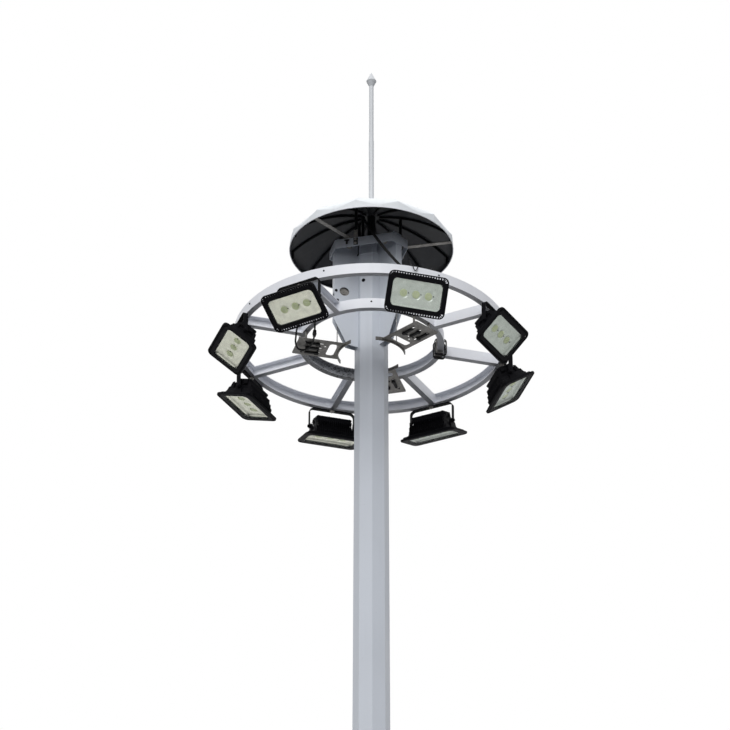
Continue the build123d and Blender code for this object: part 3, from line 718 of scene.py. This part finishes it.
def lamp_places():
    """Each lamp's body, turn and place, from its tilt joint: the axis gives its direction, the range its tilt."""
    places = []
    for joint in frame["joints"]:
        if joint["name"].endswith("_tilt"):
            angle = math.atan2(-joint["axis"][0], joint["axis"][1])
            tilt = -math.radians(joint["range_deg"][0])
            c, s = math.cos(tilt), math.sin(tilt)
            down = np.array([[c, 0, s], [0, 1, 0], [-s, 0, c]])
            places.append((joint["child"], about_z(angle) @ down, np.array(joint["pos_m"])))
    return places


def across(outline, low, high):
    """A plate square to the lamp's width: an outline of (x, z) pairs at two values of y."""
    return skin([np.insert(outline, 1, y, axis=1) for y in (low, high)])


def lamp_frame(sizes):
    """Front frame: an outer bar and an inner band, each a rounded rectangle's section carried round, with bridges
    between them that leave the slots."""
    bar, slot = sizes.rim_bar, sizes.slot_length
    wide, high, corner = LAMP_SIZE
    gap, reach, middle = bar + slot, slot + 0.002, bar + slot / 2
    outer = [(LAMP_BACK, wide, high, corner), (LAMP_FRONT - 0.0025, wide, high, corner),
             (LAMP_FRONT, wide - 0.004, high - 0.004, corner - 0.002)]
    outer += [(level, wide - 2 * bar, high - 2 * bar, corner - bar) for level in (LAMP_FRONT, LAMP_BACK)]
    band = [(level, wide - 2 * gap, high - 2 * gap, 0.030) for level in (LAMP_BACK, LAMP_FRONT)]
    band += [(LAMP_FRONT, 0.372, 0.202, 0.036), (LAMP_FRONT - 0.0015, 0.369, 0.199, 0.035),
             (LAMP_BACK, 0.366, 0.196, 0.034)]

    def bridge(width, depth):
        return block(width, depth, LAMP_BACK + 0.001, LAMP_FRONT - 0.0015)

    y, z, x = np.linspace(-0.181, 0.181, sizes.slot_count + 1), high / 2 - middle, wide / 2 - middle
    ways = outward(np.radians([35, 62, 118, 145, 215, 242, 298, 325]))
    centres = np.array([wide / 2 - corner, high / 2 - corner, 0]) * np.sign(ways)
    turns = np.arctan2(ways[:, 1], ways[:, 0]) - np.pi / 2
    shapes = (
        skin(plate_stack(outer), True),
        skin(plate_stack(band), True),
        repeated(bridge(0.0085, reach), [(place, side, 0) for side in (z, -z) for place in y]),
        repeated(bridge(reach, 0.222), [(x, 0, 0), (-x, 0, 0)]),
        copies(bridge(0.005, reach + 0.002), about_z(turns), centres + (corner - middle) * ways),
    )
    return [placed(shape, FORWARDS) for shape in shapes]


def lamp_tray():
    """Casting behind the frame: rounded rectangles from the pocket's floor, up its wall, over the flange and back in
    steps to the seat of the driver box."""
    levels = [
        (0.0662, 0.3645, 0.1945, 0.033), (0.081, 0.3658, 0.1958, 0.034), (0.0812, 0.404, 0.256, 0.030),
        (0.074, 0.408, 0.260, 0.030), (0.067, 0.404, 0.256, 0.028), (0.064, 0.352, 0.240, 0.020),
        (0.060, 0.318, 0.232, 0.016), (0.036, 0.306, 0.206, 0.012), (0.034, 0.298, 0.196, 0.012),
        (0.012, 0.290, 0.176, 0.010), (0.007, 0.284, 0.168, 0.008)]
    return placed(skin(plate_stack(levels)), FORWARDS)


def lamp_fins(sizes):
    """Cooling fins: plates square to the lamp's width above and below the driver, their outer edges stepped."""
    outline = np.array([(0.066, 0.122), (0.066, 0.100), (0.005, 0.060), (-0.046, 0.060), (-0.040, 0.078),
                        (-0.004, 0.088), (0.000, 0.100), (0.028, 0.108), (0.040, 0.121)])
    fin = across(outline, -sizes.fin_thickness / 2, sizes.fin_thickness / 2)
    count = int(0.29 / sizes.fin_pitch) + 1
    y = (np.arange(count) - (count - 1) / 2) * sizes.fin_pitch
    moves = np.column_stack([np.zeros(count), y, np.zeros(count)])
    return [repeated(fin, moves), repeated(fin, moves, HALF_TURN)]


def lamp_driver():
    """Driver box on the back, with a waist, a lid, lid screws, end lugs and a cable gland."""
    full, waist = (0.262, 0.122, 0.008), (0.254, 0.114, 0.007)
    levels = [(0.014, *full), (-0.018, *full), (-0.021, *waist), (-0.029, *waist), (-0.032, *full), (-0.064, *full),
              (-0.064, 0.268, 0.128, 0.010), (-0.0735, 0.268, 0.128, 0.010), (-0.077, 0.260, 0.120, 0.008)]
    screw = turned([(0.0045, 0), (0.0045, 0.002), (0.003, 0.0034)], 10)
    gland = joined(turned([(0.012, 0), (0.012, 0.010), (0.010, 0.011)], 6),
                   turned([(0.0095, 0.010), (0.0095, 0.020), (0.007, 0.026), (0.0045, 0.027)], 18))
    shapes = (
        skin(plate_stack(levels)),
        repeated(screw, [(x, y, -0.0765) for y in (-0.054, 0.054) for x in (-0.12, -0.04, 0.04, 0.12)], HALF_TURN),
        repeated(block(0.011, 0.030, -0.060, -0.036, 0.002),
                 [(x, y, 0) for x in (-0.135, 0.135) for y in (-0.03, 0.03)]),
        placed(gland, facing((0, 1, 0)), (0.06, 0.061, -0.048)),
    )
    return [placed(shape, FORWARDS) for shape in shapes]


def lamp_trunnions():
    """Ears from the frame back to the tilt axis, round at the end and wide at the root, each with a rib, a boss and a
    bolt head outside the yoke."""
    sideways = facing((0, 1, 0))
    tip = 0.018 * outward(np.radians(np.linspace(118, 242, 15)))[:, :2]
    outline = np.vstack([tip, [(0.036, -0.027), (0.058, -0.036), (0.058, 0.036), (0.036, 0.027)]])
    one = joined(
        across(outline, 0.150, 0.163),
        across(outline * [0.9, 0.62] + [0.004, 0], 0.1445, 0.1505),
        placed(turned([(0.0165, 0.160), (0.0165, 0.1682), (0.0155, 0.1688)], 24), sideways),
        placed(turned([(0.0068, 0.160), (0.0068, 0.176)], 16), sideways),
        placed(placed(washer_and_hex(0.0125), move=(0, 0, 0.1743)), sideways),
    )
    return [one, placed(one, HALF_TURN)]


def lamp_reflector(sizes):
    """Reflector sheet: a closed slab over a grid, its front sunk into three bowls; the depth at distance r from a
    bowl's middle falls as half a cosine from the chip to the rim, and the sheet's border curls forward."""
    face, back, bowl_depth, curl, border = 0.0745, 0.0665, 0.0065, 0.006, 0.016
    y, z = np.meshgrid(np.linspace(-0.1815, 0.1815, 121), np.linspace(-0.0965, 0.0965, 65), indexing="ij")
    depth = np.zeros_like(y)
    for middle in BOWLS:
        r = np.hypot(y - middle, z)
        t = np.clip((r - sizes.chip_radius) / (sizes.bowl_radius - sizes.chip_radius), 0, 1)
        depth = np.maximum(depth, bowl_depth * (1 + np.cos(np.pi * t)) / 2 * (r < sizes.bowl_radius))
    edge = np.maximum(np.abs(y) - 0.164, np.abs(z) - 0.079).clip(0, border) / border
    front = np.stack([face - depth + curl * edge ** 2, y, z], -1)
    rear = np.stack([np.full_like(y, back), y, z], -1)
    points = np.vstack([front.reshape(-1, 3), rear.reshape(-1, 3)])
    rows, columns = y.shape
    count = rows * columns
    cells = quads_between(rows, columns, False, False)
    i, j = np.arange(rows), np.arange(columns)
    rim = np.concatenate([i * columns, (rows - 1) * columns + j[1:], i[::-1][1:] * columns + columns - 1,
                          j[::-1][1:-1]])
    after = np.roll(rim, -1)
    wall = np.stack([rim, after, after + count, rim + count], 1)
    return outwards((points, np.vstack([cells[:, ::-1], cells + count, wall]), np.empty((0, 3), int)))


def lamp_chips(sizes):
    """Three round chips on the floors of the bowls, domed by the gel over them."""
    profile = [(1, 0.0675), (1, 0.0692), (0.94, 0.0702), (0.6, 0.0711), (0.25, 0.0715)]
    chip = turned([(sizes.chip_radius * share, height) for share, height in profile], 32)
    return placed(repeated(chip, [(x, 0, 0) for x in BOWLS]), FORWARDS)


def lead_tabs():
    """A dark solder tab at the right of each chip."""
    tab = turned([(0.0045, 0.0738), (0.0045, 0.0752), (0.003, 0.0760)], 12)
    return placed(repeated(tab, [(x + 0.034, 0.004, 0) for x in BOWLS]), FORWARDS)


class MAST_OT_floodlights(bpy.types.Operator):
    """Builds the castings, reflectors and chips of the eight floodlights"""

    bl_idname = "mast.floodlights"
    bl_label = "Floodlights"

    def execute(self, context):
        sizes = context.scene.mast_sizes
        casting = joined(*lamp_frame(sizes), lamp_tray(), *lamp_fins(sizes), *lamp_driver(), *lamp_trunnions())
        reflector, chips, tabs = lamp_reflector(sizes), lamp_chips(sizes), lead_tabs()
        for body, turn, spot in lamp_places():
            # Lamps facing the key light get the brighter reflector, a painted highlight
            sheet = "warm_reflector" if body in PAINTED_SUNLIT_LAMPS else "reflector"
            for part, shape, finish, slot, nodes in (
                ("casting", casting, "lamp_black", "lamp_black", (f"{body}_housing",)),
                ("reflector", reflector, sheet, "lamp_glass", ()),
                ("chips", chips, "chip", "lamp_glass", ()),
                ("lead_tabs", tabs, "lamp_black", "lamp_black", ()),
            ):
                make_piece(f"{body}_{part}", placed(shape, turn, spot), body, slot, finish, replaces=nodes)
        return {"FINISHED"}


# Ropes and leads


def drawn_lead(name, ends, bow, radius, points, sides, replaces=()):
    """A round lead from the mast to the ring: point t of the straight line between its ends, from 0 to 1, is moved by
    the bow times the sine of half a turn times t."""
    start, end = (np.array(stop) + RING_BASE for stop in ends)
    t = np.linspace(0, 1, points)[:, None]
    path = start + (end - start) * t + np.sin(np.pi * t) * bow
    lead = make_piece(name, skin(along(path, circle(radius, sides), (1, 0, 0))), None, "cable_rubber", None, 60.0,
                      replaces)
    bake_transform(lead)


def bent_lead(stops, points, radius, sides, side):
    """A round lead through a few stops: points spaced evenly along them, each moved to the mean of those about it
    under a raised-cosine weight."""
    run, weight = np.linspace(0, len(stops) - 1, points), np.hanning(11)[1:-1]
    path = np.column_stack([np.interp(run, np.arange(len(stops)), column) for column in np.transpose(stops)])
    padded = np.pad(path, ((len(weight) // 2, len(weight) // 2), (0, 0)), "edge")
    path = np.column_stack([np.convolve(column, weight / weight.sum(), "valid") for column in padded.T])
    return skin(along(path + RING_BASE, circle(radius, sides), side))


class MAST_OT_ropes(bpy.types.Operator):
    """Builds the laid hoisting ropes and the supply cable"""

    bl_idname = "mast.ropes"
    bl_label = "Ropes and cable"

    def execute(self, context):
        self.hoist(context.scene.mast_sizes.rope_lay)
        drawn_lead("supply_lead", (LEAD_START, (0.290, -0.790, 0.090)), (-0.026, 0, 0), 0.0102, 90, 18,
                   ("supply_cable",))
        self.signal_wire()
        return {"FINISHED"}

    def hoist(self, lay):
        """Three falls from the top sheaves to the brackets, and each rope's half circle over its sheave and run down
        inside the pole; the strands turn once round in each lay."""
        top, foot = RING_FOOT + TOP_SHEAVE, RING_FOOT - BRACKET_DROP
        outline = strand_outline(ROPE_RADIUS)
        height = np.linspace(foot, top, 150)
        middle, radius = (ROPE_OUT + ROPE_IN) / 2, (ROPE_OUT - ROPE_IN) / 2
        t = np.linspace(0, np.pi, 60)
        over = np.column_stack([middle + radius * np.cos(t), top + radius * np.sin(t)])
        down = np.column_stack([np.full(110, ROPE_IN), np.linspace(top, RING_FOOT - 0.3, 111)[1:]])
        flat = np.vstack([over, down])
        falls, bends = [], []
        for angle in ARM_TURNS:
            out = outward(angle)
            path = out * ROPE_OUT + UP * height[:, None]
            falls.append(skin(along(path, outline, out, 2 * np.pi * (height - foot) / lay)))
            path = out * flat[:, :1] + UP * flat[:, 1:]
            run = np.concatenate([[0], np.cumsum(np.linalg.norm(np.diff(path, axis=0), axis=1))])
            bends.append(skin(along(path, outline, np.cross(out, UP), 2 * np.pi * run / lay)))
        rope = make_piece("hoist_ropes", joined(*falls), None, "rope_wire", None, 80.0, ("rope_falls",))
        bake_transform(rope)
        make_piece("rope_bights", joined(*bends), "mast", "rope_wire", None, 80.0, ("rope_bends",))

    def signal_wire(self):
        """Thin black wire from beside the head band to the ring, and its tail in a V at the ring's web."""
        radius, sides = 0.0032, 8
        drawn_lead("signal_wire", ((0.262, -0.090, 0.750), (0.284, -0.949, 0.088)), (0, 0, -0.012), radius, 60, sides)
        stops = [(0.284, -0.949, 0.086), (0.292, -0.970, 0.082), (0.300, -0.9636, 0.052), (0.309, -0.9608, 0.040),
                 (0.320, -0.9572, 0.052), (0.329, -0.954, 0.078), (0.325, -0.942, 0.088), (0.318, -0.930, 0.0835)]
        make_piece("signal_wire_tail", bent_lead(stops, 80, radius, sides, (0.3, 0, 1)), "ring_carriage",
                   "cable_rubber", None, 60.0)


# Fasteners


def ring_bolts(sizes):
    """A plug bolt in the ring's web beside each lamp, three in the inner ring, and each yoke's bolt and nut."""
    lamps = np.array([math.atan2(spot[1], spot[0]) for body, turn, spot in lamp_places()])
    rows = ((RING_RADIUS, lamps + math.radians(11.3)), (INNER_RADIUS, np.radians([-90, 30, 150])))
    plugs = [(facing(outward(angle)), outward(angle) * (radius - 0.0003) + UP * (RING_FOOT + 0.052))
             for radius, angles in rows for angle in angles]
    ends = ((DOWN_WAY, 0.986, -0.005), (UP, 0.9795, 0.005))
    yokes = [(facing(way, (0, 1, 0)), outward(angle) * radius + UP * (RING_FOOT + lift))
             for way, radius, lift in ends for angle in lamps]
    make_piece("ring_bolts", scattered(washer_and_hex(sizes.ring_bolt), plugs), "ring_carriage", "galvanised",
               "dark_trim")
    make_piece("yoke_bolts", scattered(washer_and_hex(0.016), yokes), "ring_carriage", "galvanised", "bolt")


def bracket_bolts(sizes):
    """Hanger nuts under each bracket and clamp bolts by its slots, and under the slots black bars with knobs."""
    down = facing(DOWN_WAY, (0, 1, 0))
    bar = block(0.104, 0.019, -0.0965, -0.0856, 0.004)
    knob = turned([(0.012, -0.1000), (0.0165, -0.0985), (0.0165, -0.0875), (0.014, -0.0862)], 16)
    nuts, bars = [], []
    for angle in ARM_TURNS:
        out, aside = radial(angle)
        for radius, shift in ((0.506, -0.075), (0.506, 0.075), (0.392, -0.031), (0.392, 0.031)):
            nuts.append((down, out * radius + aside * shift + UP * (RING_FOOT - 0.086)))
        for shift in (-0.062, 0.0, 0.062):
            spot = out * (0.441 + shift * 0.16) + aside * shift + RING_BASE
            bars += [placed(bar, about_z(angle), spot),
                     placed(knob, about_z(angle), spot - out * (0.036 if shift else -0.034))]
    make_piece("bracket_bolts", scattered(washer_and_hex(sizes.ring_bolt), nuts), "ring_carriage", "galvanised",
               "dark_trim")
    make_piece("bracket_slot_bars", joined(*bars), "ring_carriage", "cable_rubber")


def arm_bolts():
    """Pin heads outside the side plates at each top sheave, and bolts round each guide sheave."""
    distance, height = GUIDE_SHEAVE
    pins, bolts = [], []
    for angle in ARM_TURNS:
        out, aside = radial(angle)
        for side in (-1, 1):
            pins.append((facing(aside * side), out * (ROPE_OUT + ROPE_IN) / 2 + aside * side * ARM_HALF
                         + UP * (RING_FOOT + TOP_SHEAVE)))
        for reach, lift in ((0.062, 0), (0.052, -0.081)):
            for side in (-1, 1):
                bolts.append((facing(aside * side), out * (distance + reach) + aside * side * (ARM_HALF - 0.0002)
                              + UP * (RING_FOOT + height + lift)))
    make_piece("sheave_pin_heads", scattered(washer_and_hex(0.020), pins), "mast", "galvanised", "bolt")
    make_piece("arm_bolts", scattered(washer_and_hex(0.010), bolts), "mast", "galvanised", "dark_trim")


def pole_flat():
    """Distance of the pole top's flats from the axis, from the top plate's box."""
    low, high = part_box("pole_top_plate")
    return (high.x - low.x) / 2 * math.cos(math.pi / 8)


def pole_plugs():
    """A black cable plug in the pole's flat between each pair of arms; the flat moves out 1.5 mm a metre down."""
    plug = turned([(0.013, -0.004), (0.013, 0.001), (0.0115, 0.0028), (0.004, 0.0032)], 24)
    shapes = []
    for angle in FLAT_TURNS[[0, 3, 5]]:
        out, aside = radial(angle)
        reach = pole_flat() + 0.0015 * (0.720 - PLUG_LIFT)
        shapes.append(placed(plug, facing(out), out * reach - aside * 0.021 + UP * (RING_FOOT + PLUG_LIFT)))
    make_piece("pole_plugs", joined(*shapes), "mast", "cable_rubber", "lamp_black")


def head_curbs():
    """Curb plates on the pole's top between the arms, folded as the pole's octagon is: at angle a their distance is
    the flat's distance over the cosine of the angle to the nearest flat."""
    low, high = RING_FOOT + HEAD_FOOT, RING_FOOT + 0.803
    strips = []
    for middle in GAP_TURNS:
        t = middle + np.radians(np.linspace(-37, 37, 75))
        reach = pole_flat() / np.cos(np.mod(t - POLE_TURN, np.pi / 4) - np.pi / 8)
        rows = [outward(t) * (reach - inset)[:, None] + UP * height
                for inset, height in ((0, low), (0, high), (0.005, high), (0.005, low))]
        strips.append(skin(np.stack(rows, 1)))
    make_piece("head_curbs", joined(*strips), "mast", "mast_paint", None, 20.0)


def anchor_nuts(size):
    """Anchor studs with washers and nuts round the base plate."""
    one = joined(placed(washer_and_hex(size), move=(0, 0, BASE_TOP)),
                 placed(stud_end(size, 0.036), move=(0, 0, BASE_TOP + size * 0.8)))
    nuts = copies(one, about_z(FLAT_TURNS), outward(FLAT_TURNS) * ANCHOR_RADIUS)
    make_piece("anchor_nuts", nuts, "mast", "galvanised", "bolt")


def door_fittings():
    """Two hinges at the right of the service door and two locks with three-sided sockets at its left."""
    low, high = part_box("service_door")
    (out, aside), turn = radial(DOOR_TURN), backed(DOOR_TURN)
    forward = facing((0, -1, 0))
    knuckle = turned([(0.0085, -0.045), (0.0095, -0.044), (0.0095, 0.044), (0.0085, 0.045)], 20)
    leaf = block(0.034, 0.004, -0.036, 0.036, 0.002)
    screw = placed(turned([(0.005, 0), (0.005, 0.002), (0.003, 0.0035)], 12), forward)
    hinge = joined(placed(knuckle, move=(0.1005, -0.004, 0)), placed(leaf, move=(0.076, -0.002, 0)),
                   *[placed(screw, move=(0.072, -0.0035, lift)) for lift in (0.02, -0.02)])
    lock = turned([(0.021, 0), (0.021, 0.004), (0.019, 0.006), (0.012, 0.006), (0.012, 0.003)], 28)
    socket = turned([(0.009, 0.002), (0.009, 0.009), (0.0075, 0.010)], 3)
    lock, socket = placed(lock, forward), placed(socket, forward)
    spots = [out * DOOR_FACE + UP * ((low.z + high.z) / 2 + rise) for rise in (-0.30, 0.30)]
    fittings = joined(*[placed(hinge, turn, spot) for spot in spots],
                      *[placed(part, turn, spot - aside * 0.062) for spot in spots for part in (lock, socket)])
    make_piece("door_fittings", fittings, "mast", "galvanised", "bolt")


class MAST_OT_fasteners(bpy.types.Operator):
    """Adds the bolts, nuts and washers of the ring, the brackets, the head, the door and the base"""

    bl_idname = "mast.fasteners"
    bl_label = "Fasteners"

    def execute(self, context):
        sizes = context.scene.mast_sizes
        ring_bolts(sizes)
        bracket_bolts(sizes)
        arm_bolts()
        pole_plugs()
        head_curbs()
        anchor_nuts(sizes.anchor_bolt)
        door_fittings()
        return {"FINISHED"}


# Head and hood


def head_conduits():
    """Two conduits that stand on the pole's plate with sockets at their heads and six-sided nuts at their feet."""
    x, y = LEAD_START[:2]
    profiles = (
        (0, 0, 20, [(0.011, 0.728), (0.011, 1.040), (0.0145, 1.044), (0.0145, 1.064), (0.009, 1.070)]),
        (-0.027, 0.010, 20, [(0.011, 0.728), (0.011, 0.985), (0.0135, 0.988), (0.0135, 1.004), (0.008, 1.008)]),
        (0, 0, 6, [(0.019, HEAD_FOOT), (0.019, 0.738), (0.0125, 0.741)]),
        (-0.0295, 0.010, 6, [(0.017, HEAD_FOOT), (0.017, 0.737), (0.0125, 0.740)]),
    )
    rises = [placed(turned(profile, sides), move=(x + dx, y + dy, RING_FOOT)) for dx, dy, sides, profile in profiles]
    make_piece("head_conduits", joined(*rises), "mast", "dark_trim")


def hood_legs():
    """The hood's legs at the band, each with a foot plate, a zinc tab with bolts above it, and a hook beside it."""
    leg, foot = turned([(0.011, 0.736), (0.011, 1.0715)], 18), block(0.036, 0.004, 0.738, 0.800)
    tab, bolt = block(0.030, 0.004, 0.8015, 0.866, 0.004), washer_and_hex(0.009)
    hook = (block(0.036, 0.010, 0.778, 0.787, 0.002), block(0.014, 0.010, 0.750, 0.779, 0.002))
    legs, tabs = [], []
    for angle in GAP_TURNS:
        (out, aside), turn = radial(angle), backed(angle)
        spot = out * 0.2056 - aside * 0.0597 + RING_BASE
        legs += [placed(leg, turn, spot), placed(foot, turn, spot + out * 0.0105)]
        tabs += [placed(bolt, facing(out), spot + out * 0.0174 + UP * lift) for lift in (0.752, 0.784)]
        tabs += [placed(tab, turn, spot + out * 0.0135),
                 placed(bolt, facing(out), spot + out * 0.0153 + UP * 0.842)]
        legs += [placed(part, turn, out * 0.2278 - aside * 0.1246 + RING_BASE) for part in hook]
    make_piece("hood_legs", joined(*legs), "mast", "dark_trim")
    make_piece("hood_leg_tabs", joined(*tabs), "mast", "galvanised")


def cable_clamp():
    """Bent zinc plate over the inner ring's flange, held down by two black straps."""
    angle = math.radians(11.5)
    (out, aside), turn = radial(angle), backed(angle)
    base = out * 0.503 + RING_BASE
    plate = joined(placed(block(0.088, 0.062, 0.0806, 0.0846, 0.004), turn, base + out * 0.006),
                   placed(block(0.088, 0.004, -0.022, 0.0840, 0.004), turn, base - out * 0.0255),
                   placed(block(0.088, 0.050, -0.0255, -0.0215, 0.004), turn, base - out * 0.002))
    make_piece("ring_clamp", plate, "ring_carriage", "galvanised")
    outer, inner = rounded_rectangle(0.090, 0.134, 0.022), rounded_rectangle(0.078, 0.122, 0.016)
    rows = [np.insert(edge, 0, side, axis=1)
            for edge, side in ((outer, -0.010), (outer, 0.010), (inner, 0.010), (inner, -0.010))]
    straps = [placed(skin(rows, True), turn, base + aside * shift + out * 0.004 + UP * 0.0295)
              for shift in (-0.026, 0.024)]
    make_piece("ring_clamp_straps", joined(*straps), "ring_carriage", "cable_rubber", "lamp_black")


def bracket_lead():
    """Black lead in a flat loop under the left bracket, with its connector."""
    z = -0.109
    loop = [(-0.404, -0.400), (-0.409, -0.320), (-0.417, -0.239), (-0.432, -0.190), (-0.454, -0.150),
            (-0.478, -0.122), (-0.505, -0.118), (-0.526, -0.134), (-0.537, -0.165), (-0.543, -0.204),
            (-0.545, -0.250)]
    stops = [(-0.402, -0.436, -0.030), *[(x, y, z) for x, y in loop], (-0.535, -0.290, -0.030),
             (-0.520, -0.300, -0.004)]
    plug = turned([(0.008, -0.04), (0.013, -0.034), (0.013, -0.006), (0.015, -0.004), (0.015, 0.012),
                   (0.012, 0.014), (0.012, 0.036), (0.007, 0.044)], 16)
    lead = joined(bent_lead(stops, 8 * (len(stops) - 1) + 1, 0.0065, 12, UP),
                  placed(plug, facing((-0.05, 1, 0)), np.array([-0.4065, -0.352, z]) + RING_BASE))
    make_piece("bracket_lead", lead, "ring_carriage", "cable_rubber")


class MAST_OT_head_fittings(bpy.types.Operator):
    """Adds the conduits, hood legs, corner tabs and clamps round the head"""

    bl_idname = "mast.head_fittings"
    bl_label = "Head fittings"

    def execute(self, context):
        head_conduits()
        hood_legs()
        cable_clamp()
        bracket_lead()
        return {"FINISHED"}


def arch(count=40):
    """The hood's arch from rim to crown as (distance, height): a small shoulder arc, then a crown arc that meets it
    with a common tangent."""
    middle = HOOD_RADIUS - HOOD_SHOULDER
    big = (middle ** 2 + HOOD_RISE ** 2 - HOOD_SHOULDER ** 2) / (2 * (HOOD_RISE - HOOD_SHOULDER))
    low = HOOD_RISE - big
    lean = math.atan2(-low, middle)
    t = np.linspace(0, lean, count)
    shoulder = np.column_stack([middle + HOOD_SHOULDER * np.cos(t), HOOD_SHOULDER * np.sin(t)])
    t = np.linspace(lean, np.pi / 2, count)[1:]
    return np.vstack([shoulder, np.column_stack([big * np.cos(t), low + big * np.sin(t)])])


class MAST_OT_hood_trim(bpy.types.Operator):
    """Adds the seam strips, the rim's hem, the crown flange and its bolts"""

    bl_idname = "mast.hood_trim"
    bl_label = "Hood trim"

    def execute(self, context):
        self.seams(context.scene.mast_sizes.seam_width / 2)
        hem = turned(circle(0.0034, 8) + (0.5988, HOOD_RIM + 0.0012), 120, looped=True)
        make_piece("hood_hem", hem, "mast", "hood_paint", "ring_paint")
        profile = [(0.0196, -0.002), (0.100, -0.008), (0.100, 0.001), (0.094, 0.004), (0.030, 0.006),
                   (0.026, 0.012), (0.026, 0.075), (0.0235, 0.082), (0.0196, 0.082)]
        flange = turned([(radius, HOOD_CROWN + height) for radius, height in profile], 40, looped=True)
        make_piece("hood_crown_flange", flange, "mast", "galvanised", "mast_paint")
        t = np.radians(60 * np.arange(6))
        bolts = copies(washer_and_hex(0.010), about_z(t), outward(t) * 0.070 + UP * (HOOD_CROWN + 0.0046))
        make_piece("hood_crown_bolts", bolts, "mast", "galvanised", "bolt")
        return {"FINISHED"}

    def seams(self, half):
        """Strips with a low ridge, carried up the arch over each seam; a seam stands further out than the petals'
        middles by one over the cosine of half a petal's angle, up to the rim's edge."""
        line = arch()
        line = line[line[:, 0] > 0.075]
        distance = np.minimum(line[:, :1] / math.cos(math.pi / 12), HOOD_EDGE)
        brow = half * 0.9
        section = np.array([(-half, 0.004), (half, 0.004), (brow, -0.0006), (0, -0.0016), (-brow, -0.0006)])
        strips = []
        for angle in SEAM_TURNS:
            out, aside = radial(angle)
            strips.append(skin(along(out * distance + UP * (HOOD_RIM + line[:, 1:]), section, aside)))
        make_piece("hood_seams", joined(*strips), "mast", "hood_paint")


# Panel


class VIEW3D_PT_high_mast(bpy.types.Panel):
    """Lists the mast's pieces, sizes and colours"""

    bl_label = "High mast"
    bl_idname = "VIEW3D_PT_high_mast"
    bl_space_type = "VIEW_3D"
    bl_region_type = "UI"
    bl_category = "High mast"

    def draw(self, context):
        layout = self.layout
        for step in STEPS:
            layout.operator(step)
        for group in (context.scene.mast_sizes, context.scene.mast_colours):
            box = layout.box()
            for name in group.bl_rna.properties.keys():
                if name not in ("rna_type", "name"):
                    box.prop(group, name)


STEPS = ("mast.stage", "mast.finishes", "mast.floodlights", "mast.ropes", "mast.fasteners", "mast.head_fittings",
         "mast.hood_trim")
CLASSES = (MastSizes, MastColours, MAST_OT_stage, MAST_OT_finishes, MAST_OT_floodlights, MAST_OT_ropes,
           MAST_OT_fasteners, MAST_OT_head_fittings, MAST_OT_hood_trim, VIEW3D_PT_high_mast)


def register():
    for cls in CLASSES:
        bpy.utils.register_class(cls)
    bpy.types.Scene.mast_sizes = PointerProperty(type=MastSizes)
    bpy.types.Scene.mast_colours = PointerProperty(type=MastColours)


def unregister():
    del bpy.types.Scene.mast_colours
    del bpy.types.Scene.mast_sizes
    for cls in reversed(CLASSES):
        bpy.utils.unregister_class(cls)


def main():
    register()
    bpy.ops.mast.stage()
    bpy.ops.mast.finishes()
    bpy.ops.mast.floodlights()
    bpy.ops.mast.ropes()
    bpy.ops.mast.fasteners()
    bpy.ops.mast.head_fittings()
    bpy.ops.mast.hood_trim()


if __name__ == "__main__":
    main()
